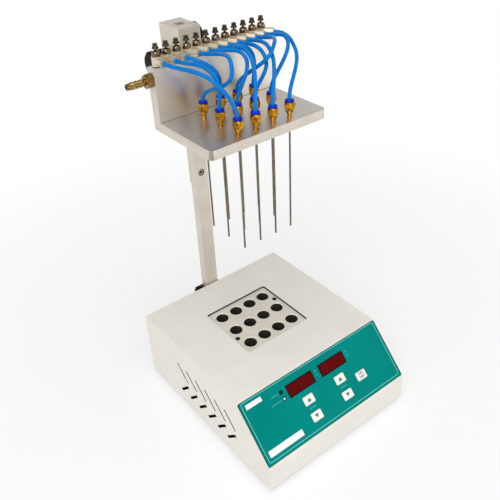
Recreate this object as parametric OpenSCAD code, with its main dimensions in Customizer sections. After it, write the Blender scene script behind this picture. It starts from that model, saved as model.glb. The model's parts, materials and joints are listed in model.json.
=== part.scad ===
// Nitrogen sample evaporator: a heated block with twelve wells under a head that
// carries twelve gas needles. The head rides up and down a mast on a rack and pinion.
// Millimetres, +Z up, the front faces -Y.

/* [Case] */
// Width of the case, left to right
case_w = 210; // [176:1:252]
// Depth of the case, front to back
case_d = 245.4; // [205:0.1:295]
// Height of the case without its feet
case_h = 90.4; // [76:0.1:108]
// Height of the upright lip below the sloping panel
lip_h = 34.1; // [28:0.1:41]
// How far back the sloping panel reaches
slope_run = 54.6; // [46:0.1:60]
// Thickness of the sheet metal
sheet_t = 1.5; // [1:0.1:2]
// Outer radius of the bends in the sheet
bend_r = 3; // [2.2:0.1:5]
// Height of the rubber feet
foot_h = 5; // [4:0.5:8]
// Diameter of the rubber feet
foot_d = 16; // [13:0.5:20]
// Number of vents in each side
vent_count = 6; // [3:1:7]
// Distance from one vent to the next
vent_pitch = 19.2; // [16:0.1:22]
// Length of the slanting slits
slit_l = 27.5; // [20:0.5:33]
// Width of the slanting slits
slit_w = 2.4; // [1.5:0.1:3]
// Length of the slots below the slits
slot_l = 23.5; // [18:0.5:26]
// Width of the slots below the slits
slot_w = 3.6; // [3:0.1:5]

/* [Heating block] */
// Diameter of a well
well_d = 15.5; // [13:0.1:18.5]
// Depth of a well
well_depth = 50; // [42:1:56]
// Distance between wells across the block
pitch_x = 21.5; // [20:0.1:24]
// Distance between rows of wells
pitch_y = 28.7; // [24:0.1:31]
// Width of the block
block_w = 89.6; // [86:0.1:96]
// Depth of the block, front to back
block_d = 84.4; // [78:0.1:92]
// Height of the block
block_h = 60; // [54:1:62]
// How far the block's centre lies behind the case's centre
block_y = 27.7; // [24:0.1:31]
// How far the block's top lies below the case's top
block_sink = 1.6; // [1:0.1:3]
// Diameter of the two holes for the lifting tool
lift_hole_d = 6; // [4:0.5:7]
// Thickness of the hot plate under the block
hot_plate_t = 9; // [8:0.5:11]

/* [Mast] */
// Width of the mast bar
mast_w = 18; // [15:0.5:22]
// Thickness of the mast bar
mast_t = 11; // [9:0.5:13]
// Length of the mast bar
mast_len = 414; // [380:1:500]
// Width of the rack
rack_w = 10; // [8:0.5:12]
// Depth of the rack, from its back to the tips of its teeth
rack_d = 9; // [8:0.5:11]
// Number of teeth on the rack
rack_teeth = 59; // [48:1:60]
// Size of the teeth: the pitch is this number times pi
tooth_module = 1; // [0.8:0.05:1.2]
// Number of teeth on the pinion
pinion_teeth = 12; // [10:1:14]
// Distance between the screws that hold the rack
rack_screw_pitch = 77; // [64:1:80]

/* [Head] */
// Thickness of the upright plate
plate_t = 12; // [10:0.5:14.5]
// Thickness of the level plate that carries the needles
needle_plate_t = 10; // [8:0.5:12]
// Width of the two plates
plate_w = 145.4; // [132:0.1:175]
// Height of the upright plate that carries the gas valves
manifold_h = 65; // [60:1:78]
// Distance from the front row of needles to the front edge
plate_front = 10.8; // [9:0.1:14]
// Distance from the back row of needles to the upright plate
plate_back = 18.9; // [16:0.1:23]
// Radius of the needle plate's front corners
plate_corner_r = 6; // [4:0.5:9]
// Width of the carriage
carriage_w = 27; // [25:0.5:32]
// Height of the carriage
carriage_h = 83; // [72:1:90]
// How far the valve plate's top lies below the carriage's top
head_drop = 16.4; // [10:0.1:20]
// How far the lift knob's axis lies below the carriage's top
pinion_drop = 39; // [36:1:45]
// How far the lock knob's axis lies below the carriage's top
lock_drop = 17; // [15:0.5:19]
// Diameter of the lift knob
lift_knob_d = 28; // [23:0.5:33]
// Length of the lift knob
lift_knob_l = 17; // [14:0.5:20]
// Diameter of the lock knob
lock_knob_d = 29; // [24:0.5:32]

/* [Valves and hoses] */
// Distance from one valve to the next
valve_pitch = 11.7; // [10.6:0.1:12.2]
// Diameter of the upright part of a valve body
valve_d = 10; // [9:0.1:10.4]
// Height of a valve body
valve_h = 9; // [8.6:0.1:10.8]
// Distance from a valve's axis to the mouth of its port
port_reach = 13.3; // [11:0.1:16]
// Diameter of a valve's port
port_d = 8.6; // [8:0.1:8.6]
// Outer diameter of the hoses
hose_d = 4; // [3.4:0.1:4.2]
// Outer diameter of a needle
needle_d = 2; // [1.7:0.1:2.4]
// Length of a needle
needle_len = 126; // [105:1:150]
// Width across the flats of the needle fittings
fitting_af = 10; // [9:0.1:12]

/* [Control panel] */
// Width of a key
key_w = 14.2; // [12:0.1:16]
// Height of a key, down the slope
key_h = 10.2; // [9:0.1:12]
// How far a key travels
key_travel = 0.6; // [0.4:0.1:0.6]
// Width of a display window
display_w = 38.8; // [33:0.1:46]
// Height of a display window
display_h = 15; // [12.5:0.1:16]
// Thickness of the panel's overlay
overlay_t = 0.8; // [0.5:0.1:1.2]

/* [Fits] */
// Radial clearance of a shaft in its bore
running_gap = 0.05; // [0.02:0.01:0.1]
// Gap on each side of the mast in its slots
slide_gap = 0.1; // [0.05:0.01:0.2]
// Gap around the heating block
block_gap = 1; // [0.6:0.1:1.5]
// Gap around a key or a lamp
key_gap = 0.25; // [0.15:0.05:0.4]
// Gap around pieces that stand in a cut-out
fit_gap = 0.1; // [0.05:0.01:0.2]
// Play between the teeth of the rack and the pinion
tooth_play = 0.15; // [0.1:0.01:0.25]

/* [Hidden] */

// Curves are drawn with this many sides where none is stated
$fn = 48;
// A little extra that carries a cut past the face it opens
cut = 1;

// Colours
ivory = "#DDD9CE";
teal = "#008C82";
dark_red = "#6E0B0E";
key_white = "#E9E7E0";
silver = "#C9C6BF";
plate_grey = "#A9A9AC";
bar_beige = "#CFC9BD";
steel = "#8A8680";
nickel = "#77726B";
brass = "#C88A1A";
plastic_beige = "#C9C0B2";
hose_blue = "#0B86E0";
collar_blue = "#0A2FC0";
black = "#17181A";
board_green = "#1F5B3A";
white_fibre = "#E4E1DA";
copper = "#A5622C";

// Case
half_w = case_w / 2;
half_d = case_d / 2;
slope_y = slope_run - half_d;
slope_angle = atan2(case_h - lip_h, slope_run);
slope_len = norm([slope_run, case_h - lip_h]);
wrap_w = case_w - 2 * sheet_t;
rim_gap = 0.2;
foot_stem_d = 5.8;
foot_in = [22, 24];
post = 12;
post_h = 14;
screw_d = 4;
screw_head_d = 7;
last_vent_y = 42.9;
slit_z = 50.6;
slot_z = 24.8;
slot_shift = 1.2;
case_profile = [
  [-half_d, 0], [half_d, 0], [half_d, case_h], [slope_y, case_h], [-half_d, lip_h]
];

// Heating block, in the case: four wells across and three rows, each with its own valve
well_cols = 4;
well_rows = 3;
valve_count = well_cols * well_rows;
lift_hole_edge = 4.25;
lift_hole_x = block_w / 2 - lift_hole_edge;
lift_hole_depth = 20;
well_chamfer = 0.8;
block_top = case_h - block_sink;
block_z = block_top - block_h;
hot_plate_z = block_z - hot_plate_t;
frame_wall = 8;
cartridge_d = 6;
cartridge_x = [-24, 24];
probe_d = 3.2;
hot_plate_w = block_w + 2;
hot_plate_d = block_d + 2;
standoff_d = 8;
standoff_in = [36, 34];

// Mast and rack: the bar stands just behind the case in its socket
mast_gap = 1.2;
mast_y = half_d + mast_gap;
mast_z = 13;
mast_top = mast_z + mast_len;
rack_y = mast_y + mast_t;
rack_top = mast_top - 1;
rack_tip_y = rack_y + rack_d;
rack_screw_drop = 16.5;
rack_screw_sink = 4.6;
rack_addendum = 0.6 * tooth_module;
tooth_pitch = PI * tooth_module;
tooth_depth = 1.9 * tooth_module;
pinion_r = pinion_teeth * tooth_module / 2;
pinion_tip_r = pinion_r + tooth_module;
pinion_y = rack_tip_y - rack_addendum + pinion_r;
shaft_d = 6;

// Socket that holds the mast
socket_w = mast_w + 8;
socket_back = 5;
socket_h = 60;
socket_flange_w = 60;
cheek_h = 71;
cheek_d = 13;
clamp_z = 77;
clamp_y = half_d + 8.6;
clamp_bolt_r = 2.5;
clamp_knob_d = 16;
clamp_knob_l = 7;

// Carriage
carriage_top = mast_top + 0.6;
carriage_z = carriage_top - carriage_h;
carriage_wall = 3.7;
carriage_y = mast_y - carriage_wall;
carriage_back = pinion_y + pinion_tip_r + 1.9;
pinion_z = carriage_top - pinion_drop;
lock_z = carriage_top - lock_drop;
lock_y = rack_y + 5.6;
lock_bolt_r = 3;
lock_knob_l = 8.5;
lift_knob_x = 18;
lift_knob_y = pinion_y;
back_y = max(carriage_back, lift_knob_y + lift_knob_d / 2);

// Plates of the head
row_y = [for (r = [0 : well_rows - 1]) block_y + (r - (well_rows - 1) / 2) * pitch_y];
col_x = [for (c = [0 : well_cols - 1]) (c - (well_cols - 1) / 2) * pitch_x];
plate_y = row_y[0] - plate_front;
manifold_y = row_y[well_rows - 1] + plate_back;
manifold_back = manifold_y + plate_t;
manifold_top = carriage_top - head_drop;
manifold_z = manifold_top - manifold_h;
needle_plate_top = manifold_z + needle_plate_t;
arm_flange_w = 60;
arm_flange_t = 5;
arm_h = 46;
arm_z = manifold_z + 5;
arm_screw_x = 22;
arm_screw_z = [arm_z + 9, arm_z + arm_h - 9];
carriage_screw_x = mast_w / 2 + slide_gap + 2.2;
carriage_screw_z = [arm_z + 5, arm_z + arm_h - 5];
plate_screw_x = [-plate_w / 2 + 12, 0, plate_w / 2 - 12];

// Valves on the upright plate's top edge
valve_x = [for (k = [0 : valve_count - 1]) (k - (valve_count - 1) / 2) * valve_pitch];
valve_y = manifold_y + plate_t / 2;
seal_t = 1;
body_z = manifold_top + seal_t;
port_z = body_z + valve_h / 2;
bolt_z = body_z + valve_h;
bolt_d = 4.8;
bolt_hex = 8.6;
spindle_d = 2.1;
spindle_in = 6;
gallery_d = 6;
gallery_z = manifold_top - 11.6;
bolt_in = 9;
nut_h = 2.4;
dome_h = 3.1;
dome_flat_r = 1.6;
head_d = 4.8;
head_h = 2.7;
head_flange_d = 6.6;
knurl_teeth = 16;
knurl_depth = 0.25;
inlet_hex = 13;
inlet_hex_h = 8;
inlet_thread = 5;
inlet_bore = 4;
nipple_l = 20;
nipple_d = 8;
barb_d = 1.6;
collar_d = 6.6;
collar_bore = hose_d + 2 * fit_gap;
collar_depth = 3;
hose_in = 4.5;

// Needle fittings on the needle plate
stem_d = 4.6;
stem_h = 3;
taper_h = 5;
hex_h = 8;
ring_h = 2.5;
ring_d = 9.4;
fitting_top = needle_plate_top + stem_h + taper_h + hex_h;
hose_end_z = fitting_top + ring_h;
needle_top = needle_plate_top - 4;

// Hoses, one row for each valve from the left: the column and the row of its needle,
// how far its port is swivelled, and how far the hose's middle bows out from the
// straight line between its ends
hose_table = [
  [0, 0, 0, [3, -20, 12]], [0, 1, 4, [0, -27, 17]],
  [1, 2, 10, [3, -15, 9]], [0, 2, 28, [-1, -54, 20]],
  [1, 1, 30, [16, -16, 19]], [1, 0, 30, [14, 0, 23]],
  [3, 2, 34, [5, -8, 16]], [2, 1, 34, [9, -21, 11]],
  [2, 0, 34, [10, -6, 19]], [2, 2, 35, [1, -41, 23]],
  [3, 1, 35, [20, -7, 21]], [3, 0, 44, [20, 2, 11]]
];
hose_steps = 12;
hose_sides = 8;

// Control panel, measured down the slope from its upper bend
panel_edge = 0.3;
panel_h = slope_len - 3.6;
overlay_top = bend_r * tan(slope_angle / 2) + fit_gap;
display_x = [-24.8, 23.8];
display_s = 19.1;
key_x = [-24.7, 23.7];
key_upper_s = 38.7;
key_lower_s = 58.7;
start_x = 52;
start_s = (key_upper_s + key_lower_s) / 2;
lamp_spots = [[-51.4, 15.2], [-51, 23.2]];
lamp_d = 3;
board_n = -10.5;
board_t = 1.6;
key_spots = [
  [key_x[0], key_upper_s], [key_x[0], key_lower_s],
  [key_x[1], key_upper_s], [key_x[1], key_lower_s], [start_x, start_s]
];
key_r = 1.2;
key_proud = 0.7;
key_flange_t = 1;
switch_w = 6;
switch_h = 3.6;
stud_spots = [[-58, 12], [58, 12], [-58, 64], [58, 64]];

// Boards and transformer in the case
control_board_w = 140;
control_board_d = 60;
control_board_y = -71;
control_board_z = 8;
transformer_foot = [34, 54, 2];
transformer_core = [34, 42, 36];
transformer_coil = [46, 26, 24];

// Power entry in the back wall
inlet_x = -60;
inlet_z = 36;
inlet_w = 27;
inlet_h = 19.8;
inlet_flange = 2.5;
switch_x = 56;
switch_z = 36;
inlet_depth = 20;
inlet_pins = [[-7, 2], [7, 2], [0, -2]];
housing_w = 15;
housing_h = 24;
housing_depth = 18;
housing_flange = 1.6;
rocker_w = 11.4;
rocker_r = 9.3;
rocker_tilt = 10;
rocker_pin_r = 1.3;
pivot_in = 2.5;

// Everything is drawn with the middle of the case's floor at the origin and is
// then moved, so that the floor under the middle of the whole object is the origin.
shift_y = -(back_y - half_d) / 2;

module from_case() {
  translate([0, shift_y, foot_h]) children();
}

// ---------- outlines and shapes that repeat ----------

function unit(v) = v / norm(v);

// The arc that rounds corner b of the path a-b-c with radius r
function arc(a, b, c, r, steps = 6) =
  let (u = unit(a - b), v = unit(c - b), half = acos(u * v) / 2)
  let (centre = b + unit(u + v) * r / sin(half))
  let (from = b + u * r / tan(half) - centre, to = b + v * r / tan(half) - centre)
  let (start = atan2(from[1], from[0]), turn = atan2(to[1], to[0]) - start)
  let (sweep = turn > 180 ? turn - 360 : turn < -180 ? turn + 360 : turn)
  [for (i = [0 : steps]) centre + r * [cos(start + sweep * i / steps), sin(start + sweep * i / steps)]];

// An outline with each corner rounded
function rounded(points, r, steps = 6) =
  let (n = len(points))
  [for (i = [0 : n - 1]) each arc(points[(i + n - 1) % n], points[i], points[(i + 1) % n], r, steps)];

// Corner b of the path a-b-c, moved inwards by t
function inset(a, b, c, t) =
  let (u = unit(a - b), v = unit(c - b))
  b + unit(u + v) * t / sin(acos(u * v) / 2);

// An outline in Y and Z, drawn out to width w about the middle
module across(w) {
  translate([-w / 2, 0, 0]) rotate([90, 0, 90]) linear_extrude(w) children();
}

// A cylinder along X from x = from to x = to
module rod_x(from, to, r) {
  translate([from, 0, 0]) rotate([0, 90, 0]) cylinder(h = to - from, r = r);
}

// A cylinder along Y from y = from to y = to
module rod_y(from, to, r) {
  translate([0, from, 0]) rotate([-90, 0, 0]) cylinder(h = to - from, r = r);
}

// A block centred in X and Y with its upright corners rounded
module rounded_block(w, d, h, r) {
  translate([-w / 2 + r, -d / 2, 0]) cube([w - 2 * r, d, h]);
  translate([-w / 2, -d / 2 + r, 0]) cube([w, d - 2 * r, h]);
  for (x = [-1, 1], y = [-1, 1])
    translate([x * (w / 2 - r), y * (d / 2 - r), 0]) cylinder(h = h, r = r);
}

// A block centred in X and Y
module block(w, d, h) {
  translate([-w / 2, -d / 2, 0]) cube([w, d, h]);
}

// The same from its three sizes in one list
module block_of(size) {
  block(size[0], size[1], size[2]);
}

// A hexagonal bar with width af across its flats
module hex_bar(af, h) {
  cylinder(h = h, d = af / cos(30), $fn = 6);
}

// A round knob along +Z with flutes around its rim
module fluted_knob(d, h, flutes, flute_r) {
  difference() {
    union() {
      cylinder(h = h - 1.5, d = d);
      cylinder(h = h, d = d - 3);
    }
    for (i = [0 : flutes - 1])
      rotate([0, 0, (i + 0.5) * 360 / flutes])
        translate([d / 2 + flute_r * 0.55, 0, -cut]) cylinder(h = h + 2 * cut, r = flute_r, $fn = 24);
  }
}

// A socket-head screw that points down from z = 0, its head above
module socket_screw(d, head_d, head_h, length) {
  difference() {
    union() {
      cylinder(h = head_h, d = head_d);
      translate([0, 0, -length]) cylinder(h = length + 0.01, d = d);
    }
    translate([0, 0, head_h * 0.4]) hex_bar(head_d * 0.45, head_h);
  }
}

// Places on the sloping panel: x across, s down the slope, then +Z points out of it
module on_slope(x, s) {
  translate([0, slope_y, case_h]) rotate([slope_angle, 0, 0]) translate([x, -s, 0]) children();
}

module at_valves() {
  for (x = valve_x) translate([x, valve_y, 0]) children();
}

// The same places, each turned as far as its port is swivelled to the right
module at_ports() {
  for (k = [0 : valve_count - 1])
    translate([valve_x[k], valve_y, 0]) rotate([0, 0, hose_table[k][2]]) children();
}

module at_needles() {
  for (x = col_x, y = row_y) translate([x, y, 0]) children();
}

// ---------- case ----------

module foot_places() {
  for (x = [-1, 1], y = [-1, 1])
    translate([x * (half_w - foot_in[0]), y * (half_d - foot_in[1]), 0]) children();
}

module post_places() {
  for (x = [-1, 1], y = [-1, 1])
    translate([x * (half_w - sheet_t - post / 2), y * (half_d - sheet_t - post / 2), 0]) children();
}

module socket_bolt_places() {
  for (x = [-1, 1], z = [24, 58])
    translate([x * (socket_flange_w / 2 - 7), 0, z]) children();
}

module base_plate() {
  color(steel) from_case() difference() {
    union() {
      block(case_w - 2 * sheet_t - 2 * rim_gap, case_d - 2 * sheet_t - 2 * rim_gap, sheet_t);
      // standoffs that carry the hot plate
      for (x = [-1, 1], y = [-1, 1])
        translate([x * standoff_in[0], block_y + y * standoff_in[1], 0])
          cylinder(h = hot_plate_z, d = standoff_d);
      // standoffs that carry the control board
      for (x = [-1, 1], y = [-1, 1])
        translate([x * (control_board_w / 2 - 8), control_board_y + y * (control_board_d / 2 - 7), 0])
          cylinder(h = control_board_z, d = 6);
    }
    foot_places() translate([0, 0, -cut]) cylinder(h = sheet_t + 2 * cut, d = foot_stem_d + 2 * fit_gap);
    post_places() translate([0, 0, -cut]) cylinder(h = sheet_t + 2 * cut, d = screw_d + 0.4);
  }
}

module rubber_feet() {
  color(black) from_case() foot_places() {
    rotate_extrude() polygon([
      [0, -foot_h], [foot_d / 2 - 1.2, -foot_h], [foot_d / 2, -foot_h + 1.2],
      [foot_d / 2 + 0.6, 0], [foot_stem_d / 2, 0], [foot_stem_d / 2, sheet_t],
      [foot_stem_d / 2 + 1, sheet_t], [foot_stem_d / 2, sheet_t + 2], [0, sheet_t + 2]
    ]);
  }
}

module panel_holes() {
  for (x = display_x)
    on_slope(x, display_s) translate([0, 0, -10])
      block(display_w + 2 * fit_gap, display_h + 2 * fit_gap, 20);
  for (p = key_spots)
    on_slope(p[0], p[1]) translate([0, 0, -10])
      rounded_block(key_w + 2 * key_gap, key_h + 2 * key_gap, 20, key_r + key_gap);
  for (p = lamp_spots)
    on_slope(p[0], p[1]) translate([0, 0, -10]) cylinder(h = 20, d = lamp_d + 2 * key_gap);
}

module top_cover() {
  p = case_profile;
  inner = [
    [-half_d + sheet_t, -cut], [half_d - sheet_t, -cut], [half_d - sheet_t, case_h - sheet_t],
    inset(p[2], p[3], p[4], sheet_t), inset(p[3], p[4], p[0], sheet_t)
  ];
  color(ivory) from_case() difference() {
    union() {
      difference() {
        across(wrap_w) polygon([p[0], p[1], each arc(p[1], p[2], p[3], bend_r),
          each arc(p[2], p[3], p[4], bend_r), each arc(p[3], p[4], p[0], bend_r)]);
        across(wrap_w + 2 * cut) polygon([inner[0], inner[1],
          each arc(inner[1], inner[2], inner[3], bend_r - sheet_t),
          each arc(inner[2], inner[3], inner[4], bend_r - sheet_t),
          each arc(inner[3], inner[4], inner[0], bend_r - sheet_t)]);
      }
      // welded posts that take the screws of the base plate
      post_places() translate([0, 0, sheet_t]) block(post, post, post_h);
      // studs that carry the key board
      for (q = stud_spots)
        on_slope(q[0], q[1]) translate([0, 0, board_n + board_t])
          cylinder(h = -board_n - board_t - sheet_t + 0.2, d = 5);
    }
    translate([0, block_y, block_top - 10])
      rounded_block(block_w + 2 * block_gap, block_d + 2 * block_gap, 20, 2.5);
    panel_holes();
    post_places() cylinder(h = post_h - 1, d = screw_d);
    // openings in the back wall
    translate([inlet_x, half_d, inlet_z]) rotate([90, 0, 0])
      translate([0, 0, -cut]) block(inlet_w + 2 * fit_gap, inlet_h + 2 * fit_gap, 2 * cut + sheet_t);
    translate([switch_x, half_d, switch_z]) rotate([90, 0, 0])
      translate([0, 0, -cut]) block(housing_w + 2 * fit_gap, housing_h + 2 * fit_gap, 2 * cut + sheet_t);
    translate([0, half_d, 0]) socket_bolt_places() rod_y(-sheet_t - cut, cut, screw_d / 2);
  }
}

// One side of the case, seen from the outside, with its slits and slots
module side_panel() {
  p = case_profile;
  difference() {
    across(sheet_t) polygon([p[0], p[1], each arc(p[1], p[2], p[3], bend_r),
      each arc(p[2], p[3], p[4], bend_r), each arc(p[3], p[4], p[0], bend_r)]);
    // slits that lean back at 45 degrees, each above a wider slot that leans forward
    for (i = [0 : vent_count - 1]) translate([0, last_vent_y - i * vent_pitch, 0]) {
      translate([0, 0, slit_z]) rotate([-45, 0, 0]) cube([2 * sheet_t, slit_w, slit_l], center = true);
      translate([0, -slot_shift, slot_z])
        rotate([45, 0, 0]) cube([2 * sheet_t, slot_w, slot_l], center = true);
    }
  }
}

module left_panel() {
  color(ivory) from_case() translate([-half_w + sheet_t / 2, 0, 0]) side_panel();
}

module right_panel() {
  color(ivory) from_case() translate([half_w - sheet_t / 2, 0, 0]) side_panel();
}

module case_screws() {
  color(nickel) from_case() {
    post_places() rotate([180, 0, 0]) socket_screw(screw_d - 0.1, screw_head_d, 2.2, 12);
    translate([0, half_d + 4, 0]) socket_bolt_places()
      rotate([-90, 0, 0]) socket_screw(screw_d - 0.1, screw_head_d, 2.2, 12);
  }
}

// ---------- control panel ----------

module control_overlay() {
  color(teal) from_case() difference() {
    on_slope(0, overlay_top + panel_h / 2)
      rounded_block(case_w - 2 * panel_edge, panel_h, overlay_t, 2);
    panel_holes();
  }
}

module display_modules() {
  color(dark_red) from_case() for (x = display_x)
    on_slope(x, display_s) translate([0, 0, board_n + board_t])
      block(display_w, display_h, overlay_t - 0.2 - board_n - board_t);
}

module indicator_lamps() {
  color(key_white) from_case() for (p = lamp_spots)
    on_slope(p[0], p[1]) {
      translate([0, 0, board_n + board_t]) cylinder(h = overlay_t - 0.6 - board_n - board_t, d = lamp_d);
      translate([0, 0, overlay_t - 0.6]) intersection() {
        sphere(d = lamp_d);
        cylinder(h = lamp_d, d = lamp_d);
      }
    }
}

// A key cap with its flange under the sheet and the stem that presses the switch
module key(i) {
  flange_z = -sheet_t - 0.1 - key_flange_t;
  stem_end = board_n + board_t + switch_h + key_travel + 0.1;
  color(key_white) from_case() on_slope(key_spots[i][0], key_spots[i][1]) {
    translate([0, 0, flange_z]) rounded_block(key_w, key_h, overlay_t + key_proud - flange_z, key_r);
    translate([0, 0, flange_z]) rounded_block(key_w + 2, key_h + 2, key_flange_t, key_r + 0.5);
    translate([0, 0, stem_end]) cylinder(h = flange_z - stem_end + 0.1, d = 3.4);
  }
}

module temperature_up_key() key(0);
module temperature_down_key() key(1);
module time_up_key() key(2);
module time_down_key() key(3);
module start_key() key(4);

module key_board() {
  color(board_green) from_case() {
    on_slope(0, slope_len / 2) translate([0, 0, board_n])
      block(2 * start_x + 2 * key_w, panel_h - 14, board_t);
    for (p = key_spots)
      on_slope(p[0], p[1]) translate([0, 0, board_n + board_t]) block(switch_w, switch_w, switch_h);
  }
}

// ---------- inside the case ----------

module control_board() {
  color(board_green) from_case() translate([0, control_board_y, control_board_z]) {
    block(control_board_w, control_board_d, board_t);
    // relay, terminals, heat sink and capacitors
    translate([-46, 8, board_t]) block(28, 12.5, 15);
    translate([-46, -14, board_t]) block(30, 10, 10);
    translate([0, 12, board_t]) block(36, 3, 16);
    translate([0, 16, board_t]) block(36, 3, 16);
    translate([0, 14, board_t]) block(36, 7, 3);
    translate([40, -14, board_t]) block(30, 10, 10);
    for (x = [34, 50]) translate([x, 10, board_t]) cylinder(h = 14, d = 12.5);
    translate([4, -12, board_t]) block(20, 20, 2.5);
  }
}

module power_transformer() {
  x = half_w - sheet_t - transformer_coil[0] / 2 - 1;
  core_z = transformer_foot[2];
  color(copper) from_case() translate([x, block_y - 20, sheet_t]) {
    block_of(transformer_foot);
    translate([0, 0, core_z]) block_of(transformer_core);
    // the winding stands out on both sides of the core, halfway up it
    translate([0, 0, core_z + (transformer_core[2] - transformer_coil[2]) / 2]) block_of(transformer_coil);
  }
}

module heating_block() {
  color(silver) from_case() difference() {
    translate([0, block_y, block_z]) rounded_block(block_w, block_d, block_h, 2);
    for (x = col_x, y = row_y) translate([x, y, 0]) {
      translate([0, 0, block_top - well_depth]) cylinder(h = well_depth + cut, d = well_d);
      translate([0, 0, block_top - well_chamfer])
        cylinder(h = well_chamfer + cut, d1 = well_d, d2 = well_d + 2 * (well_chamfer + cut));
    }
    // holes for the lifting tool, opposite each other beside the gaps between the rows
    for (s = [-1, 1]) translate([s * lift_hole_x, block_y + s * pitch_y / 2, block_top - lift_hole_depth])
      cylinder(h = lift_hole_depth + cut, d = lift_hole_d);
  }
}

module hot_plate() {
  color(steel) from_case() difference() {
    translate([0, block_y, hot_plate_z]) block(hot_plate_w, hot_plate_d, hot_plate_t);
    for (x = cartridge_x)
      translate([x, block_y, hot_plate_z + hot_plate_t / 2])
        rod_y(-hot_plate_d / 2 - cut, hot_plate_d / 2 + cut, cartridge_d / 2 + fit_gap);
    translate([0, block_y, hot_plate_z + hot_plate_t / 2])
      rod_y(-hot_plate_d / 2 - cut, 0, probe_d / 2 + fit_gap);
  }
}

module heater_cartridges() {
  color(nickel) from_case() for (x = cartridge_x)
    translate([x, block_y, hot_plate_z + hot_plate_t / 2])
      rod_y(-hot_plate_d / 2, hot_plate_d / 2 - 4, cartridge_d / 2);
}

module temperature_probe() {
  color(nickel) from_case() translate([0, block_y, hot_plate_z + hot_plate_t / 2])
    rod_y(-hot_plate_d / 2, -2, probe_d / 2);
}

module insulation_frame() {
  inner_w = hot_plate_w + 2;
  inner_d = hot_plate_d + 2;
  color(white_fibre) from_case() translate([0, block_y, sheet_t]) difference() {
    block(inner_w + 2 * frame_wall, inner_d + 2 * frame_wall, block_top - 8 - sheet_t);
    translate([0, 0, -cut]) block(inner_w, inner_d, block_top);
  }
}

module power_inlet() {
  color(black) from_case() translate([inlet_x, half_d, inlet_z]) rotate([-90, 0, 0]) {
    difference() {
      union() {
        rounded_block(inlet_w + 4, inlet_h + 4, inlet_flange, 2);
        translate([0, 0, -inlet_depth]) block(inlet_w, inlet_h, inlet_depth + 0.01);
      }
      translate([0, 0, 5 - inlet_depth])
        rounded_block(inlet_w - 3, inlet_h - 3.4, inlet_depth - 5 + inlet_flange + cut, 3);
    }
    // line, neutral and earth pins
    for (q = inlet_pins)
      translate([q[0], q[1], 4.9 - inlet_depth]) block(2, 4, 14);
  }
}

module switch_housing() {
  color(black) from_case() translate([switch_x, half_d, switch_z]) rotate([-90, 0, 0])
    difference() {
      union() {
        rounded_block(housing_w + 4, housing_h + 4, housing_flange, 1.5);
        translate([0, 0, -housing_depth]) block(housing_w, housing_h, housing_depth + 0.01);
      }
      translate([0, 0, -11]) block(rocker_w + 0.6, 2 * rocker_r + 0.8, 20);
      translate([0, 0, -pivot_in])
        rod_x(-rocker_w / 2 - 1.2, rocker_w / 2 + 1.2, rocker_pin_r + running_gap);
    }
}

// The rocker rests tilted to its off side and turns about a pin across the housing
module power_rocker() {
  color(black) from_case() translate([switch_x, half_d - pivot_in, switch_z])
    rotate([-rocker_tilt, 0, 0]) {
      intersection() {
        rod_x(-rocker_w / 2, rocker_w / 2, rocker_r);
        across(rocker_w) polygon([
          [-3, -rocker_r], [-3, rocker_r], [pivot_in + 2.6, rocker_r],
          [pivot_in + 1, 0], [pivot_in + 2.6, -rocker_r]
        ]);
      }
      rod_x(-rocker_w / 2 - 1.1, rocker_w / 2 + 1.1, rocker_pin_r);
    }
}

// ---------- mast ----------

module mast_slot(z, h) {
  translate([-mast_w / 2 - slide_gap, mast_y - slide_gap, z])
    cube([mast_w + 2 * slide_gap, mast_t + 2 * slide_gap, h]);
}

module mast_socket() {
  floor_z = mast_z - 5;
  depth = mast_y + mast_t + socket_back - half_d;
  color(black) from_case() difference() {
    union() {
      translate([-socket_w / 2, half_d, floor_z]) cube([socket_w, depth, socket_h]);
      translate([-socket_w / 2, half_d, floor_z]) cube([socket_w, cheek_d, cheek_h + 5]);
      translate([-socket_flange_w / 2, half_d, floor_z]) cube([socket_flange_w, 4, socket_h]);
    }
    mast_slot(mast_z, cheek_h + 10);
    translate([-mast_w / 2 - slide_gap, half_d - cut, mast_z])
      cube([mast_w + 2 * slide_gap, cut + 3, cheek_h + 10]);
    translate([0, half_d, 0]) socket_bolt_places() rod_y(-cut, 5, screw_d / 2 + 0.2);
    translate([0, clamp_y, clamp_z]) rod_x(-socket_w / 2 - cut, 0, clamp_bolt_r + running_gap);
  }
}

module mast_clamp_knob() {
  color(black) from_case() translate([0, clamp_y, clamp_z]) {
    rod_x(-socket_w / 2 - 0.3, -mast_w / 2 - 0.05, clamp_bolt_r);
    translate([-socket_w / 2 - 0.3, 0, 0]) rotate([0, -90, 0])
      fluted_knob(clamp_knob_d, clamp_knob_l, 8, 1.6);
  }
}

module rack_screw_places() {
  for (i = [0 : 2])
    translate([0, mast_y, rack_top - rack_screw_drop - i * rack_screw_pitch]) children();
}

module mast() {
  color(bar_beige) from_case() difference() {
    translate([-mast_w / 2, mast_y, mast_z]) cube([mast_w, mast_t, mast_len]);
    rack_screw_places() {
      rod_y(-cut, rack_screw_sink, 4.2);
      rod_y(-cut, mast_t + cut, 2.2);
    }
  }
}

// The outline of the rack's teeth, root line at x = 0, tips towards +X
function rack_outline(n) = [for (i = [0 : n - 1])
  let (z = i * tooth_pitch, mid = tooth_pitch / 4 - tooth_play / 2, lean = tan(20))
  let (tip = mid - rack_addendum * lean, root = mid + (tooth_depth - rack_addendum) * lean)
  each [[0, z - root], [tooth_depth, z - tip], [tooth_depth, z + tip], [0, z + root]]];

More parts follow.
